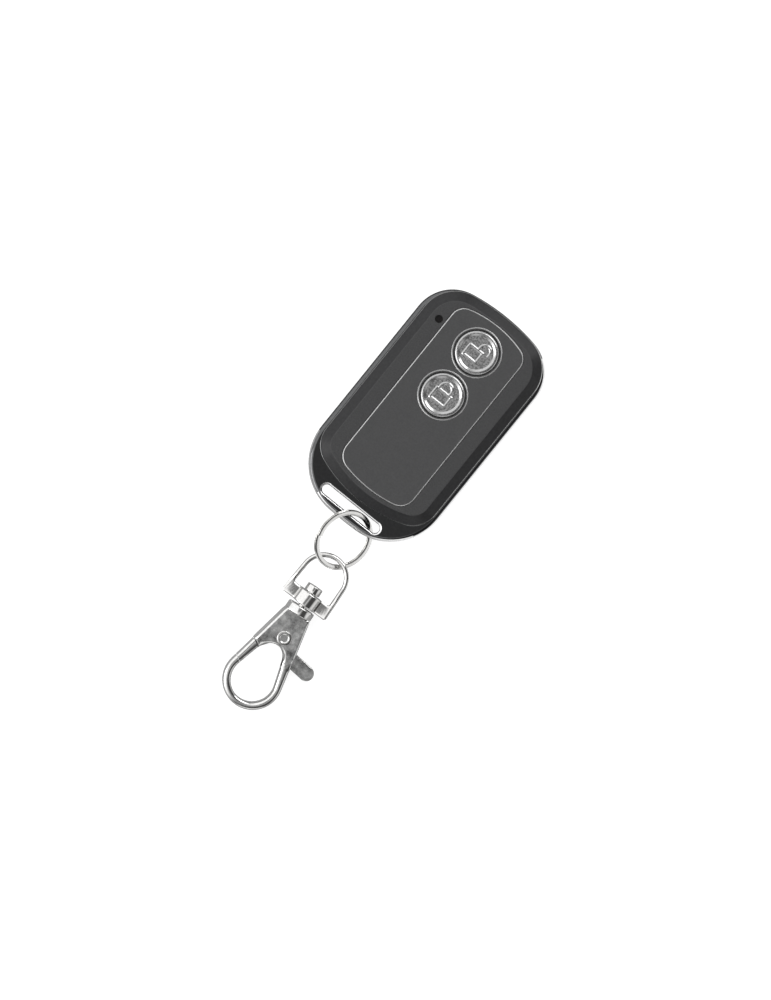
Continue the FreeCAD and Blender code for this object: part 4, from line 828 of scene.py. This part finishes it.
def makeHookBody():
    size, stud, rivet = snapHook, swivelStud, triggerRivet
    thickness = size["thickness"]
    piece = makePrism("hookBodyCasting", hookOutline(), thickness, size["plateRound"], segments=5)
    # the flat faces run down to the ring's thickness over a short slope
    end, drop, steps = size["faceEnd"], size["faceDrop"], size["faceSteps"]
    sliceMesh(Vector((0, 1, 0)), [end - drop * i / steps for i in range(steps + 1)])
    share = size["ringThickness"] / thickness
    for vertex in piece.data.vertices:
        fall = min(max((end - vertex.co.y) / drop, 0), 1)
        fall = fall * fall * (3 - 2 * fall)
        vertex.co.z *= 1 - (1 - share) * fall
    combine(piece, makeHookRing(), "UNION")
    radius, low, high = size["collarRadius"], size["collarBottom"], size["collarTop"]
    centre, cut = size["collarCentre"], size["collarCut"]
    steps = [(centre, low, 0), (radius, low, cut), (radius, high, cut), (centre, high, 0)]
    combine(piece, turnAlongY("hookCollar", roundProfile(steps, segments=5)), "UNION")
    hole = [(stud["radius"], stud["tail"]), (stud["radius"], 0)]
    combine(piece, turnAlongY("studHole", hole, holeRound))
    # on the left the casting closes down to just above the trigger, which rests against it
    reach, floor, seat = size["slotReach"], size["slotBottom"], size["seatLevel"]
    seatX = size["seatGap"] - hookSide(hookTrigger["leftSide"][0][1])
    outline = [(-reach, floor), (reach, floor), (reach, size["slotTop"])]
    outline += [(size["slotLeft"], size["slotTop"]), (size["slotLeft"], size["slotShoulder"])]
    outline += [(seatX, seat), (-reach, seat)]
    levels = (-size["slotWidth"] / 2, size["slotWidth"] / 2)
    loops = [[Vector((x, y, z)) for x, y in outline] for z in levels]
    combine(piece, loftPiece("triggerSlot", loops))
    hole = [(rivet["radius"], -rivet["holeReach"]), (rivet["radius"], rivet["holeReach"])]
    x, y = hookTrigger["rivet"]
    combine(piece, turnPiece("rivetHole", x, y, hole, holeRound))
    return piece


def onHookFace(face):
    size = snapHook
    flat = abs(face.normal.z) > size["grainSlope"] and abs(face.center.z) > size["grainLeast"]
    return flat and size["grainEnd"] < face.center.y < size["collarBottom"]


def triggerOutline():
    size = hookTrigger
    (x, y), tilt = size["rivet"], radians(size["leverTilt"])
    count, outline = size["leverSteps"], []
    for i in range(count + 1):
        angle = -pi / 2 - tilt + pi * i / count
        outline.append(arcPoint(*size["lever"], size["leverRadius"], angle))
    outline.append((hookSide(size["upperRoot"]), size["upperRoot"]))
    outline += size["springSeat"]
    outline += [(x + across, y + up) for across, up in size["crown"]]
    outline += [(gap - hookSide(level), level) for gap, level in size["leftSide"]]
    eye, inner, low = size["eyeLevel"], snapHook["leftInner"], size["lowerRoot"]
    outline.append((-eyeSide(eye), eye))
    outline.append((size["gateRootGap"] - eyeSide(inner), inner + size["gateRootRise"]))
    belly = y - size["hubRadius"] + size["bellyRise"]
    outline += [(x - size["bellyHalfWidth"], belly), (x + size["bellyHalfWidth"], belly)]
    outline.append((eyeSide(low) + size["rootGap"], low + size["rootRise"]))
    return outline + [(hookSide(low), low)]


def makeTrigger():
    size, hook = hookTrigger, snapHook
    thickness, gap, curve = size["thickness"], size["gateGap"], size["edgeRound"]
    piece = makePrism("triggerLever", triggerOutline(), thickness, curve, segments=4)
    (x, y), half = size["rivet"], thickness / 2
    hub = [(size["hubRadius"], -half), (size["hubRadius"], half)]
    combine(piece, turnPiece("triggerHub", x, y, hub, pinRound), "UNION")
    stations = []
    for i in range(size["gateSteps"] + 1):
        t = i / size["gateSteps"]
        outerY = (hook["leftOuter"] - gap) * (1 - t) + (hook["noseOuter"] + gap) * t
        innerY = (hook["leftInner"] - gap) * (1 - t) + (hook["noseInner"] + gap) * t
        stations.append(armStation(innerY, outerY, -1))
    combine(piece, loftBar("triggerGate", stations), "UNION")
    hole = [(size["holeRadius"], -size["holeReach"]), (size["holeRadius"], size["holeReach"])]
    combine(piece, turnPiece("triggerHole", x, y, hole, holeRound))
    return piece


def onTriggerFace(face):
    flat = abs(face.normal.z) > snapHook["grainSlope"]
    return flat and face.center.x > hookTrigger["grainLeft"]


def makeRivet():
    size = triggerRivet
    face, head, dimple = snapHook["thickness"] / 2, size["headRadius"], size["dimpleRadius"]
    top = face + size["headHeight"]
    floor = top - size["dimpleDepth"]
    half = [(size["radius"], face, 0), (head, face, size["headFoot"])]
    half += [(head, top, size["headRound"]), (dimple, top, size["dimpleRim"])]
    half += [(dimple - size["dimpleWall"], floor, size["dimpleCorner"])]
    upper = roundProfile(half + [(size["dimpleCentre"], floor, 0)], segments=4)
    lower = [(radius, -z) for radius, z in reversed(upper)]
    x, y = hookTrigger["rivet"]
    return turnPiece("triggerRivetPin", x, y, lower + upper, pinRound)


# the rivet's dimple, which gets a rougher nickel painted darker, as shade
def inDimple(face):
    satin = triggerRivet["dimpleRadius"] - triggerRivet["satinInset"]
    return (face.center.xy - Vector(hookTrigger["rivet"])).length < satin


# nodes of the finishes
plainContrast = (0.3, 0.7)  # the part of a noise's range that is used
wanderScale = 6  # the roughness wanders over this many grains


# each input is given by its name or place, as a value or as another node's output
def addNode(tree, kind, inputs, output=0, **settings):
    node = tree.nodes.new("ShaderNode" + kind)
    for name, value in settings.items():
        setattr(node, name, value)
    for key, value in inputs.items():
        if isinstance(value, bpy.types.NodeSocket):
            tree.links.new(value, node.inputs[key])
        else:
            node.inputs[key].default_value = value
    return node.outputs[output]


def addNoise(tree, size, detail=3, fineness=0.5):
    place = addNode(tree, "TexCoord", {}, "Object")
    place = addNode(tree, "Mapping", {"Vector": place, "Scale": (1 / size,) * 3})
    inputs = {"Vector": place, "Scale": 1, "Detail": detail, "Roughness": fineness}
    return addNode(tree, "TexNoise", inputs, "Fac")


def addRange(tree, value, start, end, low, high, kind="LINEAR"):
    inputs = {"Value": value, "From Min": start, "From Max": end, "To Min": low, "To Max": high}
    return addNode(tree, "MapRange", inputs, "Result", interpolation_type=kind)


def addMath(tree, operation, *values):
    return addNode(tree, "Math", dict(enumerate(values)), operation=operation)


# one recipe for all: two shades mixed by a fine grain, a roughness that wanders, and dents
# where bump is given; a shade that is one number is a grey, and sizes are in metres
def makeFinish(name, shades, rough, grain, metallic=0.0, specular=0.5, bump=0.0, bumpSize=None,
               contrast=plainContrast, detail=4, fineness=0.5):
    material = bpy.data.materials.new(name)
    material.use_nodes = True
    tree = material.node_tree
    inputs = tree.nodes["Principled BSDF"].inputs
    inputs["Metallic"].default_value = metallic
    inputs["Specular IOR Level"].default_value = specular
    inputs["Roughness"].default_value = rough[0]
    first, second = (shade if isinstance(shade, tuple) else (shade,) * 3 for shade in shades)
    inputs["Base Color"].default_value = (*first, 1)
    specks = addRange(tree, addNoise(tree, grain, detail, fineness), *contrast, 0, 1)
    shades = {"Factor": specks, 6: (*first, 1), 7: (*second, 1)}
    tree.links.new(addNode(tree, "Mix", shades, 2, data_type="RGBA"), inputs["Base Color"])
    wander = addRange(tree, addNoise(tree, grain * wanderScale), *plainContrast, *rough)
    tree.links.new(wander, inputs["Roughness"])
    if bump:
        height = addNoise(tree, bumpSize or grain)
        dents = {"Strength": 1, "Distance": bump, "Height": height}
        tree.links.new(addNode(tree, "Bump", dents), inputs["Normal"])
    return material


def makeMetal(*values, **options):
    return makeFinish(*values, metallic=1.0, **options)


print("materials")
finishes = {
    "frame_chrome": makeMetal(
        "smokedChrome", ((0.10, 0.101, 0.103), (0.125, 0.126, 0.128)), (0.05, 0.09), 0.0006,
        bump=0.0000006, bumpSize=0.004),
    "cover_plastic": makeFinish(
        "charcoalPlastic", ((0.028, 0.028, 0.029), (0.042, 0.042, 0.043)), (0.42, 0.52), 0.00035,
        specular=0.4, bump=0.000012, bumpSize=0.00025),
    "plate_coating": makeFinish(
        "greySheet", ((0.041, 0.041, 0.042), (0.050, 0.050, 0.051)), (0.40, 0.50), 0.0004,
        specular=0.4, bump=0.000003, bumpSize=0.0002),
    "key_coating": makeFinish(
        "keySatin", (0.13, 0.30), (0.34, 0.48), 0.0004,
        metallic=0.75, bump=0.000012, bumpSize=0.0003, contrast=(0.4, 0.6)),
    "board_laminate": makeFinish(
        "boardGreen", ((0.01, 0.10, 0.04), (0.015, 0.14, 0.05)), (0.3, 0.4), 0.001),
    "screw_steel": makeMetal(
        "screwZinc", ((0.10, 0.10, 0.105), 0.16), (0.3, 0.45), 0.0003),
    "cell_steel": makeMetal(
        "cellSteel", ((0.60, 0.60, 0.59), (0.70, 0.70, 0.69)), (0.22, 0.32), 0.0008),
    "contact_bronze": makeMetal(
        "springBronze", ((0.52, 0.38, 0.17), (0.60, 0.45, 0.22)), (0.25, 0.35), 0.0008),
    "switch_plastic": makeFinish("switchBlack", (0.012, 0.02), (0.4, 0.5), 0.0005),
    "switch_steel": makeMetal("switchSteel", (0.50, 0.60), (0.22, 0.34), 0.0005),
    "plunger_plastic": makeFinish("plungerBlack", (0.02, 0.03), (0.4, 0.5), 0.0005),
    "led_resin": makeFinish(
        "lampResin", ((0.65, 0.60, 0.48), (0.72, 0.66, 0.55)), (0.12, 0.2), 0.0005),
    "lens_plastic": makeFinish(
        "smokedLens", ((0.005, 0.004, 0.004), (0.008, 0.006, 0.006)), (0.1, 0.16), 0.0004),
    "chip_resin": makeFinish("chipBlack", (0.012, 0.02), (0.5, 0.6), 0.0003),
    "can_metal": makeMetal(
        "canNickel", ((0.58, 0.57, 0.54), (0.66, 0.65, 0.62)), (0.2, 0.3), 0.0006),
    "resistor_ceramic": makeFinish(
        "resistorGlaze", ((0.015, 0.015, 0.018), (0.03, 0.03, 0.034)), (0.3, 0.4), 0.0003),
    "capacitor_ceramic": makeFinish(
        "tanCeramic", ((0.26, 0.16, 0.07), (0.32, 0.20, 0.10)), (0.4, 0.5), 0.0003),
    "track_copper": makeMetal(
        "bareCopper", ((0.55, 0.24, 0.11), (0.65, 0.30, 0.15)), (0.25, 0.4), 0.0006),
    "ring_steel": makeMetal(
        "nickelRing", ((0.76, 0.755, 0.74), (0.86, 0.855, 0.84)), (0.10, 0.16), 0.0004,
        bump=0.0000008, bumpSize=0.0006),
    "bow_metal": makeMetal(
        "polishedNickel", ((0.66, 0.655, 0.645), (0.76, 0.755, 0.745)), (0.08, 0.16), 0.0005,
        bump=0.0000015, bumpSize=0.0012),
    "hook_metal": makeMetal(
        "castNickel", ((0.66, 0.658, 0.65), (0.77, 0.768, 0.76)), (0.10, 0.18), 0.0005,
        bump=0.0000015, bumpSize=0.0012),
    "spring_steel": makeMetal("springWire", (0.45, 0.55), (0.2, 0.3), 0.0004),
}
# finishes, painted highlights and painted shade that only some faces of a piece have
brightEdge = makeMetal("brightEdge", (0.74, 0.84), (0.34, 0.40), 0.0004)
# a darker, slightly glossier copy of the cover plastic for the shell's bevel; the darkness is
# painted shade
shadedBevel = makeFinish(
    "shadedBevelPlastic", ((0.018, 0.018, 0.019), (0.026, 0.026, 0.027)), (0.30, 0.38), 0.0006,
    specular=0.22, bump=0.000002, bumpSize=0.0004)
# brighter chrome on the frame's slot rim and on its edge at the right and round the lug: a painted
# highlight
slotPolish = makeMetal("slotPolish", (0.80, 0.88), (0.08, 0.14), 0.0004)
grainedNickel = makeMetal(
    "grainedNickel", ((0.12, 0.12, 0.119), (0.66, 0.66, 0.655)), (0.36, 0.5), 0.0026,
    bump=0.00003, bumpSize=0.0004, contrast=(0.34, 0.66), detail=6, fineness=0.78)
# a brighter, glossier metal for the keys' slopes; the brightness is a painted highlight
keyHighlight = makeMetal("keyPolish", (0.40, 0.50), (0.22, 0.28), 0.0003)
openingSatin = makeFinish("openingSatin", (0.26, 0.34), (0.34, 0.42), 0.0003, metallic=0.9)
# brighter chrome on the frame's lip by the cover: a painted highlight line
seamLine = makeMetal("seamLine", (0.55, 0.65), (0.14, 0.2), 0.0004)
# a rougher, darker nickel for the rivet's dimples: the roughness is the finish, the darkness
# painted shade
satinNickel = makeMetal(
    "satinNickel", ((0.38, 0.38, 0.375), (0.52, 0.52, 0.515)), (0.42, 0.5), 0.0003)

slotOf = {part["node"]: part["material_slot"] for part in frame["record"]["subparts"]}
for name, node in nodes.items():
    node.data.materials.clear()
    node.data.materials.append(finishes[slotOf[name]])

print("case frame")
# the frame's slot rim, its edge at the right and round the lug, and its lip get brighter chrome as
# painted highlights
edges = [(slotPolish, onFrameEdge), (seamLine, onFrameLip)]
finishPiece(makeCaseFrame(), "fob", "frame_chrome", "chrome_frame", edges)

print("covers")
# the shell's bevel is painted darker than the rest of the cover, as shade
bevel = [(shadedBevel, onShellBevel)]
finishPiece(makeUpperShell(), "fob", "cover_plastic", "front_cover", bevel)
finishPiece(makeLowerShell(), "fob", "cover_plastic", "rear_cover")

print("face plate")
edges = [(openingSatin, onPlateCone), (brightEdge, onPlateEdge)]
finishPiece(makeFacePlate(), "fob", "plate_coating", "face_plate", edges, sharpAngle=25)

print("push keys")
for keyName in ("unlock", "lock"):
    # the keys' slopes get brighter metal as a painted highlight
    slopes = [(keyHighlight, onKeySlope)]
    finishPiece(makeKey(keyName), keyName + "_key", "key_coating", keyName + "_button", slopes)

print("split ring")
coil = makeSplitRing()
finishPiece(coil, "key_ring", "ring_steel", "split_ring", placement=ringPlacement)

print("swivel")
finishPiece(makeSwivelBow(), "bow", "bow_metal", "swivel_bow", placement=bowPlacement)
stud = makeSwivelStud()
finishPiece(stud, "snap_hook", "bow_metal", "swivel_stud", placement=hookPlacement)

print("snap hook")
grain = [(grainedNickel, onHookFace)]
finishPiece(makeHookBody(), "snap_hook", "hook_metal", "hook_body", grain, hookPlacement)
grain = [(grainedNickel, onTriggerFace)]
finishPiece(makeTrigger(), "hook_trigger", "hook_metal", "trigger", grain, hookPlacement)
# the rivet's dimples get a rougher nickel with painted shade
dimple = [(satinNickel, inDimple)]
finishPiece(makeRivet(), "snap_hook", "bow_metal", "trigger_rivet", dimple, hookPlacement)

# floor, light and camera; azimuths are counted in the image from its right side up, and
# polar angles from straight above
studio = {
    "target": (4.95, -20.5, 11.2), "turn": 38.9, "frameHeight": 230.4,
    "lens": 400, "sensor": 36, "clipping": (0.01, 20), "floorSize": 6, "floorDrop": 0.02,
    "floorWhite": 0.88, "floorShade": 0.3, "floorRough": 0.9, "floorGloss": 0.1,
    "cardGloss": 0.6, "cardX": (8, 16), "cardY": (-48, -38), "roomLight": 0.07,
    "leftPower": 1.9, "rightPower": 2.8, "leftAzimuth": 187, "rightAzimuth": 40,
    "lampDistance": 0.8, "lampPolar": 58, "lampWidth": 0.5, "lampHeight": 0.45,
}
# bright zones of the room; reach is where a zone begins and where it is full
roomZones = {
    "wall": {"azimuth": 150, "polar": 55, "reach": (82, 54), "light": 1.35},
    "side": {"azimuth": -30, "polar": 80, "reach": (26, 8), "light": 0.9},
    "near": {"azimuth": 272, "polar": 84, "reach": (30, 14), "light": 1.1},
    "horizon": {"azimuth": 0, "polar": 0, "reach": (70, 84), "light": 0.6},
    "overhead": {"azimuth": 0, "polar": 0, "reach": (15, 8), "light": 0.18},
}


def makeFloor():
    pickOnly()
    place = (0, 0, -studio["floorDrop"] * millimetre)
    bpy.ops.mesh.primitive_plane_add(size=studio["floorSize"], location=place)
    floor = bpy.context.object
    floor.name = "studioFloor"
    material = bpy.data.materials.new("paleFloor")
    material.use_nodes = True
    tree = material.node_tree
    inputs = tree.nodes["Principled BSDF"].inputs
    inputs["Base Color"].default_value = (studio["floorShade"],) * 3 + (1,)
    inputs["Roughness"].default_value = studio["floorRough"]
    inputs["Specular IOR Level"].default_value = 0
    # metal sees a plain floor with a white card lying on it to the right of the case
    place = addNode(tree, "TexCoord", {}, "Object")
    ramps = []
    for axis in ("X", "Y"):
        start, end = (limit * millimetre for limit in studio["card" + axis])
        value = addNode(tree, "SeparateXYZ", {0: place}, axis)
        ramps.append(addRange(tree, value, start, end, 0, 1, "SMOOTHSTEP"))
    card = addMath(tree, "MULTIPLY", *ramps)
    sheen = addMath(tree, "MULTIPLY_ADD", card, studio["cardGloss"], studio["floorGloss"])
    rays, white = tree.nodes.new("ShaderNodeLightPath").outputs, studio["floorWhite"]
    glow = addMath(tree, "MULTIPLY", rays["Is Glossy Ray"], sheen)
    for ray in ("Is Transmission Ray", "Is Camera Ray"):
        glow = addMath(tree, "MULTIPLY_ADD", rays[ray], white, glow)
    inputs["Emission Color"].default_value = (1, 1, 1, 1)
    tree.links.new(glow, inputs["Emission Strength"])
    floor.data.materials.append(material)


# image right and image up, as directions on the floor
turn = radians(studio["turn"])
imageRight = Vector((cos(turn), sin(turn), 0))
imageUp = Vector((-sin(turn), cos(turn), 0))
target = Vector(studio["target"]) * millimetre


def roomDirection(azimuth, polar):
    around, down = radians(azimuth), radians(polar)
    aside = imageRight * cos(around) + imageUp * sin(around)
    return aside * sin(down) + Vector((0, 0, cos(down)))


# a dim room with a broad pale wall at the left, two narrow lights, a pale horizon and the
# camera's dark place overhead
def makeWorld():
    world = bpy.data.worlds.new("studioRoom")
    bpy.context.scene.world = world
    world.use_nodes = True
    tree = world.node_tree
    direction = addNode(tree, "TexCoord", {}, "Generated")

    def addZone(name, around):
        zone = roomZones[name]
        inputs = {0: direction, 1: roomDirection(zone["azimuth"], zone["polar"])}
        match = addNode(tree, "VectorMath", inputs, "Value", operation="DOT_PRODUCT")
        start, end = (cos(radians(angle)) for angle in zone["reach"])
        return addRange(tree, match, start, end, around, zone["light"], "SMOOTHSTEP")

    room = studio["roomLight"]
    total = addMath(tree, "MULTIPLY", addZone("wall", room), addZone("overhead", 1))
    for name in ("side", "near", "horizon"):
        total = addMath(tree, "MAXIMUM", total, addZone(name, room))
    total = addMath(tree, "MAXIMUM", total, addNode(tree, "LightPath", {}, "Is Camera Ray"))
    background = tree.nodes["Background"]
    background.inputs["Color"].default_value = (1, 1, 1, 1)
    tree.links.new(total, background.inputs["Strength"])


def addLamp(name, azimuth, power):
    data = bpy.data.lights.new(name, "AREA")
    data.shape = "RECTANGLE"
    data.size, data.size_y = studio["lampWidth"], studio["lampHeight"]
    data.energy = power
    lamp = bpy.data.objects.new(name, data)
    bpy.context.scene.collection.objects.link(lamp)
    offset = roomDirection(azimuth, studio["lampPolar"])
    lamp.location = target + offset * studio["lampDistance"]
    lamp.rotation_euler = (-offset).to_track_quat("-Z", "Y").to_euler()


def addCamera():
    data = bpy.data.cameras.new("viewCamera")
    data.lens = studio["lens"]
    data.sensor_width = studio["sensor"]
    data.clip_start, data.clip_end = studio["clipping"]
    camera = bpy.data.objects.new("viewCamera", data)
    bpy.context.scene.collection.objects.link(camera)
    distance = studio["lens"] * studio["frameHeight"] / studio["sensor"] * millimetre
    camera.location = target + Vector((0, 0, distance))
    camera.rotation_euler = (0, 0, turn)
    bpy.context.scene.camera = camera


print("studio")
makeFloor()
makeWorld()
addLamp("leftSoftbox", studio["leftAzimuth"], studio["leftPower"])
addLamp("rightSoftbox", studio["rightAzimuth"], studio["rightPower"])
addCamera()
bpy.context.scene.view_settings.view_transform = "Standard"
